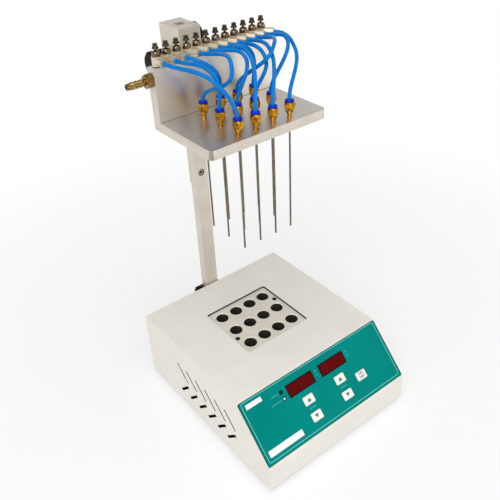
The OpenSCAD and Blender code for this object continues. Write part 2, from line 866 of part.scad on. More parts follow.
module rack() {
  // one tooth stands at the pinion's height, so that the pair is in mesh
  above = floor((rack_top - 4 - pinion_z) / tooth_pitch);
  first = pinion_z - (rack_teeth - 1 - above) * tooth_pitch;
  back = rack_y;
  root_y = rack_tip_y - tooth_depth;
  color(silver) from_case() difference() {
    across(rack_w) polygon([
      [back, rack_top], [back, first - 3],
      [root_y, first - 3], for (q = rack_outline(rack_teeth)) [root_y + q[0], first + q[1]],
      [root_y, rack_top]
    ]);
    rack_screw_places() rod_y(mast_t - cut, mast_t + 6, 2);
  }
}

module rack_screws() {
  color(nickel) from_case() rack_screw_places() translate([0, rack_screw_sink, 0])
    rotate([90, 0, 0]) socket_screw(3.8, screw_head_d, 4, mast_t - rack_screw_sink + 5.5);
}

// ---------- carriage and knobs ----------

module carriage() {
  color(bar_beige) from_case() difference() {
    translate([-carriage_w / 2, carriage_y, carriage_z])
      cube([carriage_w, carriage_back - carriage_y, carriage_h]);
    mast_slot(carriage_z - cut, carriage_h + 2 * cut);
    // room for the rack behind the mast
    translate([-rack_w / 2 - 0.3, rack_y - cut, carriage_z - cut])
      cube([rack_w + 0.6, rack_d + cut + 0.4, carriage_h + 2 * cut]);
    // bore for the pinion, narrower on the right where the shaft ends
    translate([0, pinion_y, pinion_z]) {
      rod_x(-rack_w / 2 - 0.5, rack_w / 2 + 0.5, pinion_tip_r + 0.4);
      rod_x(-carriage_w / 2 - cut, carriage_w / 2 - 1.5, shaft_d / 2 + running_gap);
    }
    translate([0, lock_y, lock_z]) rod_x(0, carriage_w / 2 + cut, lock_bolt_r + running_gap);
    for (s = [-1, 1], z = carriage_screw_z)
      translate([s * carriage_screw_x, 0, z]) rod_y(carriage_y - cut, carriage_y + 8, 1.5);
  }
}

// One tooth of the pinion about +X, with involute flanks
function involute(base_r, r) =
  let (t = sqrt(max(0, r * r / (base_r * base_r) - 1)))
  t * 180 / PI - atan(t);

function flank(base_r, half, from_r, to_r, steps) = [for (i = [0 : steps])
  let (r = from_r + (to_r - from_r) * i / steps, a = half - involute(base_r, r))
  r * [cos(a), sin(a)]];

function pinion_outline() =
  let (base_r = pinion_r * cos(20), root_r = pinion_r - 0.9 * tooth_module)
  let (half = 90 / pinion_teeth - tooth_play / 2 / pinion_r * 180 / PI + involute(base_r, pinion_r))
  let (side = flank(base_r, half, base_r, pinion_tip_r, 4), n = len(side))
  [for (k = [0 : pinion_teeth - 1])
    let (turn = k * 360 / pinion_teeth, c = cos(turn), s = sin(turn))
    let (foot = root_r * [cos(half), sin(half)])
    let (tooth = [[foot[0], -foot[1]], for (q = side) [q[0], -q[1]],
      for (i = [n - 1 : -1 : 0]) side[i], foot])
    each [for (q = tooth) [q[0] * c - q[1] * s, q[0] * s + q[1] * c]]];

module pinion_shaft() {
  // the gap between two teeth faces the rack
  color(nickel) from_case() translate([0, pinion_y, pinion_z]) {
    translate([-rack_w / 2, 0, 0]) rotate([90, 0, 90]) rotate([0, 0, 180 + 180 / pinion_teeth])
      linear_extrude(rack_w) polygon(pinion_outline());
    rod_x(-lift_knob_x - lift_knob_l + 3, carriage_w / 2 - 1.7, shaft_d / 2);
  }
}

module lift_knob() {
  color(black) from_case() translate([-lift_knob_x, pinion_y, pinion_z]) rotate([0, -90, 0])
    difference() {
      union() {
        fluted_knob(lift_knob_d, lift_knob_l, 10, 2.2);
        translate([0, 0, -3.5]) cylinder(h = 4, d = 12);
      }
      translate([0, 0, -5]) cylinder(h = lift_knob_l + 2, d = shaft_d);
    }
}

module lock_knob() {
  color(black) from_case() translate([0, lock_y, lock_z]) {
    rod_x(rack_w / 2 + 0.05, carriage_w / 2 + 1, lock_bolt_r);
    translate([carriage_w / 2 + 0.5, 0, 0]) rotate([0, 90, 0])
      fluted_knob(lock_knob_d, lock_knob_l, 6, 4);
  }
}

module head_arm() {
  length = carriage_y - manifold_back;
  color(plate_grey) from_case() difference() {
    union() {
      translate([-carriage_w / 2, manifold_back, arm_z]) cube([carriage_w, length, arm_h]);
      translate([-arm_flange_w / 2, manifold_back, arm_z]) cube([arm_flange_w, arm_flange_t, arm_h]);
    }
    for (s = [-1, 1], z = carriage_screw_z) translate([s * carriage_screw_x, manifold_back, z]) {
      rod_y(-cut, 4, 3.1);
      rod_y(-cut, length + cut, 1.7);
    }
    for (s = [-1, 1], z = arm_screw_z)
      translate([s * arm_screw_x, manifold_back, z]) rod_y(-cut, arm_flange_t + cut, screw_d / 2 + 0.2);
  }
}

module carriage_screws() {
  length = carriage_y - manifold_back;
  color(nickel) from_case() for (s = [-1, 1], z = carriage_screw_z)
    translate([s * carriage_screw_x, manifold_back + 4, z])
      rotate([90, 0, 0]) socket_screw(2.9, 5.6, 3, length - 4 + 7);
}

// ---------- plates of the head ----------

module plate_screw_places() {
  // into the needle plate's rear edge, through the upright plate
  for (x = plate_screw_x) translate([x, manifold_back, manifold_z + needle_plate_t / 2]) children();
}

module manifold_plate() {
  color(plate_grey) from_case() difference() {
    translate([-plate_w / 2, manifold_y, manifold_z]) cube([plate_w, plate_t, manifold_h]);
    // gas gallery along the plate, fed from its left end
    translate([0, valve_y, gallery_z]) {
      rod_x(-plate_w / 2 - cut, valve_x[valve_count - 1] + 3, gallery_d / 2);
      rod_x(-plate_w / 2 - cut, -plate_w / 2 + inlet_thread + 0.5, 5);
    }
    at_valves() translate([0, 0, gallery_z]) cylinder(h = manifold_top - gallery_z + cut, d = 5);
    plate_screw_places() {
      rod_y(-plate_t - cut, cut, screw_d / 2 + 0.2);
      rod_y(-4.4, cut, screw_head_d / 2 + 0.4);
    }
    for (s = [-1, 1], z = arm_screw_z)
      translate([s * arm_screw_x, manifold_back, z]) rod_y(-8, cut, screw_d / 2);
  }
}

module needle_plate() {
  depth = manifold_y - plate_y;
  color(plate_grey) from_case() difference() {
    translate([0, plate_y, manifold_z]) union() {
      translate([-plate_w / 2 + plate_corner_r, 0, 0])
        cube([plate_w - 2 * plate_corner_r, depth, needle_plate_t]);
      translate([-plate_w / 2, plate_corner_r, 0]) cube([plate_w, depth - plate_corner_r, needle_plate_t]);
      for (s = [-1, 1])
        translate([s * (plate_w / 2 - plate_corner_r), plate_corner_r, 0])
          cylinder(h = needle_plate_t, r = plate_corner_r);
    }
    at_needles() translate([0, 0, manifold_z - cut])
      cylinder(h = needle_plate_t + 2 * cut, d = stem_d + 2 * fit_gap);
    plate_screw_places() rod_y(-plate_t - 12, -plate_t + cut, screw_d / 2);
  }
}

module plate_screws() {
  color(nickel) from_case() {
    plate_screw_places() translate([0, -4.4, 0]) rotate([-90, 0, 0])
      socket_screw(screw_d - 0.1, screw_head_d, 4, plate_t - 4.4 + 10);
    for (s = [-1, 1], z = arm_screw_z)
      translate([s * arm_screw_x, manifold_back + arm_flange_t, z]) rotate([-90, 0, 0])
        socket_screw(screw_d - 0.1, screw_head_d, 4, arm_flange_t + 7);
  }
}

// ---------- gas path ----------

module gas_inlet() {
  color(brass) from_case() translate([-plate_w / 2, valve_y, gallery_z]) rotate([0, -90, 0])
    difference() {
      union() {
        translate([0, 0, -inlet_thread]) cylinder(h = inlet_thread + 1, d = 9.9);
        intersection() {
          hex_bar(inlet_hex, inlet_hex_h);
          union() {
            cylinder(h = inlet_hex_h - 1, d = inlet_hex / cos(30));
            translate([0, 0, inlet_hex_h - 1])
              cylinder(h = 1, d1 = inlet_hex / cos(30), d2 = inlet_hex / cos(30) - 3);
          }
        }
        translate([0, 0, inlet_hex_h - 0.01]) cylinder(h = nipple_l, d = nipple_d - barb_d);
        // barbs
        for (i = [0 : 2]) translate([0, 0, inlet_hex_h + 4 + i * 4.6])
          cylinder(h = 4.2, d1 = nipple_d, d2 = nipple_d - barb_d);
      }
      translate([0, 0, -inlet_thread - cut])
        cylinder(h = nipple_l + inlet_hex_h + inlet_thread + 2 * cut, d = inlet_bore);
    }
}

module valve_bodies() {
  color(plastic_beige) from_case() at_ports() difference() {
    union() {
      translate([0, 0, body_z]) cylinder(h = valve_h, d = valve_d);
      translate([0, 0, port_z]) rod_y(-port_reach, 0, port_d / 2);
    }
    translate([0, 0, body_z - cut]) cylinder(h = valve_h + 2 * cut, d = bolt_d + 2 * fit_gap);
    translate([0, 0, port_z]) {
      rod_y(-port_reach - cut, -port_reach + collar_depth, collar_d / 2 + fit_gap);
      rod_y(-port_reach - cut, -port_reach + hose_in + 0.3, hose_d / 2 + fit_gap);
      rod_y(-port_reach, 0, 1.2);
    }
  }
}

// A nut and dome in one piece with the hollow bolt that holds the valve body down
module banjo_bolts() {
  color(nickel) from_case() at_valves() difference() {
    union() {
      translate([0, 0, manifold_top - bolt_in]) cylinder(h = bolt_in + seal_t + valve_h + 0.01, d = bolt_d);
      translate([0, 0, bolt_z]) hex_bar(bolt_hex, nut_h);
      translate([0, 0, bolt_z + nut_h - 0.01]) rotate_extrude() polygon([
        [0, 0],
        for (i = [0 : 5]) [dome_flat_r + (bolt_hex / 2 - dome_flat_r) * cos(i * 18), dome_h * sin(i * 18)],
        [0, dome_h]
      ]);
    }
    translate([0, 0, manifold_top - bolt_in - cut])
      cylinder(h = bolt_in + seal_t + valve_h + nut_h + dome_h + 2 * cut, d = spindle_d);
  }
}

module valve_seals() {
  color(black) from_case() at_valves() translate([0, 0, manifold_top]) difference() {
    cylinder(h = seal_t, d = valve_d - 0.8);
    translate([0, 0, -cut]) cylinder(h = seal_t + 2 * cut, d = bolt_d + 2 * fit_gap);
  }
}

module port_collars() {
  color(collar_blue) from_case() at_ports() translate([0, 0, port_z]) difference() {
    rod_y(-port_reach - 0.9, -port_reach + collar_depth - 0.1, collar_d / 2);
    rod_y(-port_reach - 0.9 - cut, -port_reach + collar_depth + cut, collar_bore / 2);
  }
}

// The small screw that opens a valve: a spindle, a thin neck, a flared flange and a knurled head
module valve_screw(k) {
  flange_z = bolt_z + nut_h + dome_h + 1.9;
  color(nickel) from_case() translate([valve_x[k - 1], valve_y, 0]) {
    translate([0, 0, manifold_top - spindle_in])
      cylinder(h = flange_z - manifold_top + spindle_in + 0.01, d = spindle_d - 2 * running_gap);
    translate([0, 0, flange_z]) cylinder(h = 1.1, d = head_flange_d);
    translate([0, 0, flange_z + 1.09]) cylinder(h = 0.91, d1 = head_flange_d, d2 = head_d);
    translate([0, 0, flange_z + 2]) linear_extrude(head_h) polygon([for (i = [0 : 2 * knurl_teeth - 1])
      (head_d / 2 - (i % 2) * knurl_depth) * [cos(i * 180 / knurl_teeth), sin(i * 180 / knurl_teeth)]]);
  }
}

module valve_screw_01() valve_screw(1);
module valve_screw_02() valve_screw(2);
module valve_screw_03() valve_screw(3);
module valve_screw_04() valve_screw(4);
module valve_screw_05() valve_screw(5);
module valve_screw_06() valve_screw(6);
module valve_screw_07() valve_screw(7);
module valve_screw_08() valve_screw(8);
module valve_screw_09() valve_screw(9);
module valve_screw_10() valve_screw(10);
module valve_screw_11() valve_screw(11);
module valve_screw_12() valve_screw(12);

module needle_fittings() {
  shoulder_z = needle_plate_top + stem_h;
  hex_z = shoulder_z + taper_h;
  corner_d = fitting_af / cos(30);
  color(brass) from_case() at_needles() difference() {
    union() {
      translate([0, 0, manifold_z + 2]) cylinder(h = needle_plate_t - 2 + stem_h + 0.01, d = stem_d);
      translate([0, 0, shoulder_z]) cylinder(h = taper_h, d1 = stem_d + 0.6, d2 = fitting_af - 0.4);
      intersection() {
        translate([0, 0, hex_z - 0.01]) hex_bar(fitting_af, hex_h);
        translate([0, 0, hex_z - 0.01]) rotate_extrude() polygon([
          [0, 0], [fitting_af / 2 - 0.2, 0], [corner_d / 2, 1.2],
          [corner_d / 2, hex_h - 1.2], [fitting_af / 2 - 0.3, hex_h], [0, hex_h]
        ]);
      }
    }
    translate([0, 0, fitting_top - collar_depth])
      cylinder(h = collar_depth + cut, d = collar_d + 2 * fit_gap);
    translate([0, 0, fitting_top - hose_in - 0.3]) cylinder(h = hose_in + cut, d = hose_d + 2 * fit_gap);
    translate([0, 0, manifold_z]) cylinder(h = fitting_top - manifold_z - hose_in, d = needle_d + 0.1);
  }
}

module fitting_collars() {
  color(collar_blue) from_case() at_needles() difference() {
    union() {
      translate([0, 0, fitting_top - collar_depth + 0.1]) cylinder(h = collar_depth, d = collar_d);
      translate([0, 0, fitting_top + 0.1]) rotate_extrude() polygon([
        [0, 0], [ring_d / 2 - 0.4, 0], [ring_d / 2, 0.5], [ring_d / 2, ring_h - 1],
        [ring_d / 2 - 0.9, ring_h - 0.1], [0, ring_h - 0.1]
      ]);
    }
    translate([0, 0, fitting_top - collar_depth - cut])
      cylinder(h = collar_depth + ring_h + 3 * cut, d = collar_bore);
  }
}

module needles() {
  color(steel) from_case() at_needles() translate([0, 0, needle_top - needle_len]) difference() {
    cylinder(h = needle_len, d = needle_d, $fn = 24);
    translate([0, 0, -cut]) cylinder(h = needle_len + 2 * cut, d = needle_d - 0.7, $fn = 24);
  }
}

// A smooth curve from p to q that leaves along m and arrives along n
function bow(p, m, q, n, first) = [for (i = [first : hose_steps])
  let (t = i / hose_steps, u = 1 - t)
  (1 + 2 * t) * u * u * p + t * u * u * m + t * t * (3 - 2 * t) * q - t * t * u * n];

// The middle line of one hose, from inside its valve's port to inside its needle fitting
function hose_path(h, x) =
  let (out = [sin(h[2]), -cos(h[2]), 0], valve = [x, valve_y, port_z])
  let (mouth = valve + out * (port_reach + 1), collar = [col_x[h[0]], row_y[h[1]], hose_end_z + 0.5])
  let (mid = (mouth + collar) / 2 + h[3], a = norm(mid - mouth), b = norm(collar - mid))
  let (along = unit((mid - mouth) / a + (collar - mid) / b))
  [valve + out * (port_reach - hose_in), each bow(mouth, 1.2 * a * out, mid, a * along, 0),
    each bow(mid, b * along, collar, [0, 0, -0.8 * b], 1), [collar[0], collar[1], fitting_top - hose_in]];

// Directions across a path, carried along it so that a tube round it doesn't twist
function along_path(path) = [for (i = [0 : len(path) - 1])
  unit(path[min(i + 1, len(path) - 1)] - path[max(i - 1, 0)])];

function sides_of(dirs) = [for (i = 0, s = [0, 0, 1]; i < len(dirs);
  i = i + 1, s = i < len(dirs) ? unit(s - (s * dirs[i]) * dirs[i]) : s) s];

module tube(path, r) {
  dirs = along_path(path);
  sides = sides_of(dirs);
  last = len(path) - 1;
  n = hose_sides;
  points = [for (i = [0 : last], k = [0 : n - 1])
    path[i] + r * (cos(k * 360 / n) * sides[i] + sin(k * 360 / n) * cross(dirs[i], sides[i]))];
  faces = [
    [for (k = [0 : n - 1]) k],
    for (i = [0 : last - 1], k = [0 : n - 1])
      [i * n + k, (i + 1) * n + k, (i + 1) * n + (k + 1) % n, i * n + (k + 1) % n],
    [for (k = [n - 1 : -1 : 0]) last * n + k]
  ];
  polyhedron(points, faces, convexity = 6);
}

module hoses() {
  color(hose_blue) from_case() for (k = [0 : valve_count - 1])
    tube(hose_path(hose_table[k], valve_x[k]), hose_d / 2);
}

base_plate();
rubber_feet();
top_cover();
left_panel();
right_panel();
case_screws();
control_overlay();
display_modules();
indicator_lamps();
temperature_up_key();
temperature_down_key();
time_up_key();
time_down_key();
start_key();
key_board();
control_board();
power_transformer();
heating_block();
hot_plate();
heater_cartridges();
temperature_probe();
insulation_frame();
power_inlet();
switch_housing();
power_rocker();
mast_socket();
mast_clamp_knob();
mast();
rack();
rack_screws();
carriage();
pinion_shaft();
lift_knob();
lock_knob();
head_arm();
carriage_screws();
manifold_plate();
needle_plate();
plate_screws();
gas_inlet();
valve_bodies();
banjo_bolts();
valve_seals();
port_collars();
valve_screw_01();
valve_screw_02();
valve_screw_03();
valve_screw_04();
valve_screw_05();
valve_screw_06();
valve_screw_07();
valve_screw_08();
valve_screw_09();
valve_screw_10();
valve_screw_11();
valve_screw_12();
needle_fittings();
fitting_collars();
needles();
hoses();
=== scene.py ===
"""Nitrogen sample evaporator: finishes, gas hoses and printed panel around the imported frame.

Lengths are written in millimetres and turned to metres where a mesh or an object is made.
X runs across the case, +Y to its back and +Z up.
"""
import json
import math

import bmesh
import bpy
from mathutils import Matrix, Vector

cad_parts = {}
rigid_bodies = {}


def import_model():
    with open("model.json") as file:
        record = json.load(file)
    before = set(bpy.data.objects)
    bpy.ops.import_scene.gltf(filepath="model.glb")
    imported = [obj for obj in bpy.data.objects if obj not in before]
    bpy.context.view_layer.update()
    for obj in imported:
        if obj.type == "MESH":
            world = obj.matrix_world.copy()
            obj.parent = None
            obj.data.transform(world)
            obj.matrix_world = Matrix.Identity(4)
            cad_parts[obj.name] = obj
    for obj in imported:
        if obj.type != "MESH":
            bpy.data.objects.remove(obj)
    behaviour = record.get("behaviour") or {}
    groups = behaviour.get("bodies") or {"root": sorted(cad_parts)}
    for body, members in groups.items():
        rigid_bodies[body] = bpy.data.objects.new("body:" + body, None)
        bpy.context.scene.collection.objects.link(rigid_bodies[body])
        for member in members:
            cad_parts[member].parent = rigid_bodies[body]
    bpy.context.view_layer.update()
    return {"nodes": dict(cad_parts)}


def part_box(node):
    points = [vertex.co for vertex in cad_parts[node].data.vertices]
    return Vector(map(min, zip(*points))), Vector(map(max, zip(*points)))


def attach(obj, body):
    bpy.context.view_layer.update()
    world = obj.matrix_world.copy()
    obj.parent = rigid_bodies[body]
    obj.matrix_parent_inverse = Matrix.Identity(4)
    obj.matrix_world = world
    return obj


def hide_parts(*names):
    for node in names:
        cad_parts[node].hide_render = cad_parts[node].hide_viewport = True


for leftover in list(bpy.data.objects):
    bpy.data.objects.remove(leftover)

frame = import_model()
nodes = frame["nodes"]
MM = 0.001


def box_mm(node):
    """A node's lowest and highest corners in millimetres."""
    low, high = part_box(node)
    return Vector(low) / MM, Vector(high) / MM


# ---------- camera, at the photograph's viewpoint ----------

CAMERA_AZIMUTH = -36.33
CAMERA_ELEVATION = 35.0
CAMERA_ROLL = -3.08
CAMERA_LENS = 46.31
CAMERA_PLACE = Vector((-363.4, -480.2, 623.5))


def make_camera():
    """The camera, turned by its azimuth, elevation and roll."""
    azimuth, elevation, roll = map(math.radians, (CAMERA_AZIMUTH, CAMERA_ELEVATION, CAMERA_ROLL))
    right = Vector((math.cos(azimuth), math.sin(azimuth), 0))
    back = Vector((
        math.sin(azimuth) * math.cos(elevation),
        -math.cos(azimuth) * math.cos(elevation),
        math.sin(elevation),
    ))
    up = back.cross(right)
    turned_right = math.cos(roll) * right + math.sin(roll) * up
    turned_up = math.cos(roll) * up - math.sin(roll) * right
    data = bpy.data.cameras.new("camera")
    data.lens = CAMERA_LENS
    data.sensor_width = 36
    data.clip_start = 0.01
    data.clip_end = 30
    camera = bpy.data.objects.new("camera", data)
    bpy.context.scene.collection.objects.link(camera)
    turn = Matrix((turned_right, turned_up, back)).transposed().to_4x4()
    camera.matrix_world = Matrix.Translation(CAMERA_PLACE * MM) @ turn
    bpy.context.scene.camera = camera


make_camera()

# ---------- helpers for materials ----------


def linear(hex_colour):
    """An sRGB hex colour as linear RGBA."""
    parts = [int(hex_colour[i:i + 2], 16) / 255 for i in (1, 3, 5)]
    return (*(c / 12.92 if c <= 0.04045 else ((c + 0.055) / 1.055) ** 2.4 for c in parts), 1)


def add(tree, kind, links=None, **settings):
    """Adds a shader node. links gives its inputs, as a socket to connect or a value to set."""
    node = tree.nodes.new("ShaderNode" + kind)
    for name, value in settings.items():
        setattr(node, name, value)
    for name, value in (links or {}).items():
        if isinstance(value, bpy.types.NodeSocket):
            tree.links.new(value, node.inputs[name])
        else:
            node.inputs[name].default_value = value
    return node


def new_material(name, **sockets):
    """A material with one Principled shader. Returns the material, its tree and the shader."""
    material = bpy.data.materials.new(name)
    material.use_nodes = True
    tree = material.node_tree
    tree.nodes.clear()
    shader = add(tree, "BsdfPrincipled", sockets)
    tree.links.new(shader.outputs[0], add(tree, "OutputMaterial").inputs["Surface"])
    return material, tree, shader


def noise(tree, size, stretch=(1, 1, 1), detail=2.0, roughness=0.5):
    """Noise with features of that many millimetres, longer by stretch along each axis."""
    place = add(tree, "TexCoord").outputs["Object"]
    scale = tuple(1 / (size * MM * s) for s in stretch)
    spread = add(tree, "Mapping", {"Vector": place, "Scale": scale})
    return add(tree, "TexNoise", {
        "Vector": spread.outputs["Vector"], "Scale": 1.0, "Detail": detail, "Roughness": roughness,
    }).outputs["Fac"]


def span(tree, value, low, high, start=0.25, end=0.75):
    """Maps a value from start...end to low...high."""
    return add(tree, "MapRange", {
        "Value": value, "From Min": start, "From Max": end, "To Min": low, "To Max": high,
    }).outputs["Result"]


def blend_colours(tree, factor, first, second):
    """A colour between two hex colours or colour sockets."""
    chosen = [linear(c) if isinstance(c, str) else c for c in (first, second)]
    node = add(tree, "Mix", {"Factor": factor}, data_type="RGBA")
    for socket, colour in zip(("A", "B"), chosen):
        target = next(s for s in node.inputs if s.name == socket and s.type == "RGBA")
        if isinstance(colour, bpy.types.NodeSocket):
            tree.links.new(colour, target)
        else:
            target.default_value = colour
    return next(s for s in node.outputs if s.type == "RGBA")


def set_bump(tree, shader, height, depth, strength=1.0):
    """Bumps the surface by height, depth millimetres high."""
    bump = add(tree, "Bump", {"Height": height, "Distance": depth * MM, "Strength": strength})
    tree.links.new(bump.outputs["Normal"], shader.inputs["Normal"])


def connect(tree, value, shader, socket):
    """Feeds a value into a socket of the shader."""
    tree.links.new(value, shader.inputs[socket])


def mottle(tree, shader, pattern, light, dark):
    """Colours the surface between two tones, as a pattern of noise gives them."""
    connect(tree, blend_colours(tree, span(tree, pattern, 0, 1), light, dark), shader, "Base Color")


# ---------- materials, one for each finish ----------


def powder_coated_steel(name, light, dark, peel=0.9, depth=0.018, roughness=(0.38, 0.5)):
    """Baked powder on sheet steel: an even satin colour with the faint ripple of orange peel."""
    material, tree, shader = new_material(name, **{"Specular IOR Level": 0.4})
    cloud = noise(tree, 45, detail=3)
    mottle(tree, shader, cloud, light, dark)
    ripple = noise(tree, peel, detail=1.5)
    connect(tree, span(tree, ripple, *roughness), shader, "Roughness")
    set_bump(tree, shader, ripple, depth)
    return material


def brushed_aluminium(name, light, dark, along, roughness=(0.3, 0.42), line=0.35, depth=0.006):
    """Milled aluminium brushed in one direction: fine lines that smear reflections across them."""
    material, tree, shader = new_material(name, Metallic=1.0)
    stretch = tuple(60 if axis == along else 1 for axis in "xyz")
    lines = noise(tree, line, stretch, detail=4, roughness=0.6)
    cloud = noise(tree, 30, detail=2)
    streaks = blend_colours(tree, span(tree, lines, 0, 1), light, dark)
    tint = blend_colours(tree, span(tree, cloud, 0, 0.35), streaks, dark)
    connect(tree, tint, shader, "Base Color")
    connect(tree, span(tree, lines, *roughness), shader, "Roughness")
    set_bump(tree, shader, lines, depth)
    return material


def blasted_aluminium(name, light, dark, metallic=0.75, roughness=(0.45, 0.6), grit=0.25):
    """Bead-blasted, clear-anodised aluminium: a soft sheen broken by grains of a quarter millimetre."""
    material, tree, shader = new_material(name, Metallic=metallic)
    grains = noise(tree, grit, detail=2)
    cloud = noise(tree, 25, detail=3)
    mottle(tree, shader, cloud, light, dark)
    connect(tree, span(tree, grains, *roughness), shader, "Roughness")
    set_bump(tree, shader, grains, 0.008)
    return material


def turned_metal(name, light, dark, roughness=(0.16, 0.3), ring=0.3, depth=0.006, metallic=1.0,
                 stain_and_sheen_size=6):
    """Metal turned on a lathe: fine rings round the upright axis that break up the highlights."""
    material, tree, shader = new_material(name, Metallic=metallic)
    rings = noise(tree, ring, (8, 8, 1), detail=3)
    # the mottle is random stain on most metals; on the brass and the nickel domes it paints glints and
    # dark reflections
    stain_and_sheen = noise(tree, stain_and_sheen_size, detail=3)
    mottle(tree, shader, stain_and_sheen, light, dark)
    connect(tree, span(tree, rings, *roughness), shader, "Roughness")
    set_bump(tree, shader, rings, depth)
    return material


def moulded_plastic(name, light, dark, roughness=(0.32, 0.45), grain=0.3, depth=0.01, level=0.5):
    """Injection-moulded plastic: an even colour with the fine grain etched into the mould."""
    material, tree, shader = new_material(name, **{"Specular IOR Level": level})
    texture = noise(tree, grain, detail=2)
    cloud = noise(tree, 12, detail=2)
    mottle(tree, shader, cloud, light, dark)
    connect(tree, span(tree, texture, *roughness), shader, "Roughness")
    set_bump(tree, shader, texture, depth)
    return material


def black_rubber(name):
    """Moulded rubber: matt black with a slight bloom."""
    return moulded_plastic(name, "#1C1C1D", "#2A2A2B", (0.7, 0.85), 0.5, 0.03, 0.3)


def extruded_hose():
    """Extruded polyurethane tube: bright, glossy blue, a little darker in broad patches."""
    material, tree, shader = new_material("extruded_polyurethane", **{"Specular IOR Level": 0.09})
    cloud = noise(tree, 9, detail=2)
    mottle(tree, shader, cloud, "#007ACC", "#0068B4")
    draw_lines = noise(tree, 1.2, detail=3)
    connect(tree, span(tree, draw_lines, 0.2, 0.32), shader, "Roughness")
    set_bump(tree, shader, draw_lines, 0.02)
    return material


def printed_film():
    """Back-printed polyester film: flat teal under a velvet surface of very fine dots."""
    material, tree, shader = new_material("printed_polyester_film", **{"Specular IOR Level": 0.02})
    cloud = noise(tree, 60, detail=2)
    mottle(tree, shader, cloud, "#00877F", "#007B74")
    velvet = noise(tree, 0.4, detail=1)
    connect(tree, span(tree, velvet, 0.34, 0.46), shader, "Roughness")
    set_bump(tree, shader, velvet, 0.008)
    return material


def tinted_window():
    """Tinted acrylic over unlit digits: deep red and glossy, a little darker in small patches."""
    material, tree, shader = new_material("tinted_acrylic", **{"Specular IOR Level": 0.02})
    cloud = noise(tree, 3, detail=3)
    mottle(tree, shader, cloud, "#680A0D", "#58080B")
    connect(tree, span(tree, noise(tree, 1.5), 0.14, 0.24), shader, "Roughness")
    return material


def screen_ink(name, colour, worn, level=0.4):
    """Screen-printed ink: a thin flat layer with slightly uneven cover."""
    material, tree, shader = new_material(name, **{"Specular IOR Level": level})
    cover = noise(tree, 0.8, detail=3)
    mottle(tree, shader, cover, colour, worn)
    connect(tree, span(tree, cover, 0.4, 0.5), shader, "Roughness")
    set_bump(tree, shader, cover, 0.004)
    return material


def led_lens(name, light, dark, level=0.5):
    """Moulded epoxy lens: clear and glossy with the chip's cup showing through."""
    material, tree, shader = new_material(name, **{"Specular IOR Level": level})
    cup = noise(tree, 1.1, detail=2)
    mottle(tree, shader, cup, light, dark)
    connect(tree, span(tree, cup, 0.08, 0.16), shader, "Roughness")
    return material


def fibre_board(name):
    """Pressed ceramic fibre: chalky white with short felted fibres."""
    material, tree, shader = new_material(name, Roughness=0.95)
    felt = noise(tree, 0.6, (4, 1, 1), detail=5, roughness=0.7)
    mottle(tree, shader, felt, "#ECE9E2", "#CFCAC0")
    set_bump(tree, shader, felt, 0.15)
    return material


def solder_mask():
    """Glass-epoxy board under green solder mask: copper tracks show as slightly raised lines."""
    material, tree, shader = new_material("green_solder_mask", **{"Specular IOR Level": 0.5})
    place = add(tree, "TexCoord").outputs["Object"]
    tracks = add(tree, "TexBrick", {
        "Vector": place, "Scale": 1 / (4 * MM), "Mortar Size": 0.05,
        "Color1": linear("#1F5B3A"), "Color2": linear("#226441"), "Mortar": linear("#3C8A5A"),
    })
    connect(tree, tracks.outputs["Color"], shader, "Base Color")
    connect(tree, span(tree, noise(tree, 2), 0.25, 0.4), shader, "Roughness")
    set_bump(tree, shader, tracks.outputs["Fac"], 0.03)
    return material


def stacked_laminations():
    """Stacked, varnished iron sheets half a millimetre thick: dark stripes along the core."""
    material, tree, shader = new_material("varnished_laminations", Metallic=0.6)
    place = add(tree, "TexCoord").outputs["Object"]
    sheets = add(tree, "TexWave", {
        "Vector": place, "Scale": 1 / (2 * MM) / 10, "Distortion": 0.1,
    }, bands_direction="Y").outputs["Fac"]
    connect(tree, blend_colours(tree, sheets, "#3B3A38", "#67645E"), shader, "Base Color")
    connect(tree, span(tree, noise(tree, 4), 0.4, 0.6), shader, "Roughness")
    set_bump(tree, shader, sheets, 0.08)
    return material


def wound_copper():
    """Enamelled copper wire wound in close layers: fine amber ridges."""
    material, tree, shader = new_material("enamelled_copper_winding", Metallic=0.8)
    place = add(tree, "TexCoord").outputs["Object"]
    turns = add(tree, "TexWave", {
        "Vector": place, "Scale": 1 / (1.6 * MM) / 10, "Distortion": 0.3,
    }, bands_direction="Z").outputs["Fac"]
    connect(tree, blend_colours(tree, turns, "#7A3E1B", "#B8713A"), shader, "Base Color")
    connect(tree, span(tree, noise(tree, 3), 0.3, 0.45), shader, "Roughness")
    set_bump(tree, shader, turns, 0.1)
    return material


ivory_coat = powder_coated_steel("ivory_powder_coat", "#E6E2DA", "#E1DCD3")
black_coat = powder_coated_steel("black_powder_coat", "#232324", "#2E2E2F", 0.7, 0.03, (0.45, 0.6))
zinc_sheet = brushed_aluminium("zinc_plated_sheet", "#B9BCBC", "#95999A", "x", (0.35, 0.5))
plate_brushed = brushed_aluminium("brushed_plate_aluminium", "#F1ECE2", "#D8D2C7", "x")
sawn_edge = blasted_aluminium("milled_plate_edge", "#D6CFC4", "#C5BDB1", 0.5, (0.36, 0.48), 0.6)
# painted dark reflection on the needle plate's rounded corners
painted_corner_reflection = blasted_aluminium("milled_corner_painted_reflection", "#A79E91", "#948A7C", 0.6, (0.36, 0.48), 0.6)
bar_satin = blasted_aluminium("satin_anodised_bar", "#D9D3C7", "#CFC8BB", 0.55, (0.42, 0.52))
block_blasted = blasted_aluminium("blasted_block_aluminium", "#EAE5D8", "#DDD7C8", 0.3)
raw_plate = brushed_aluminium("sawn_raw_aluminium", "#BDBAB5", "#9E9B96", "y", (0.4, 0.55), 0.8, 0.02)
yellow_zinc = turned_metal("yellow_zinc_plating", "#C9BE8C", "#A89C66", (0.28, 0.42))
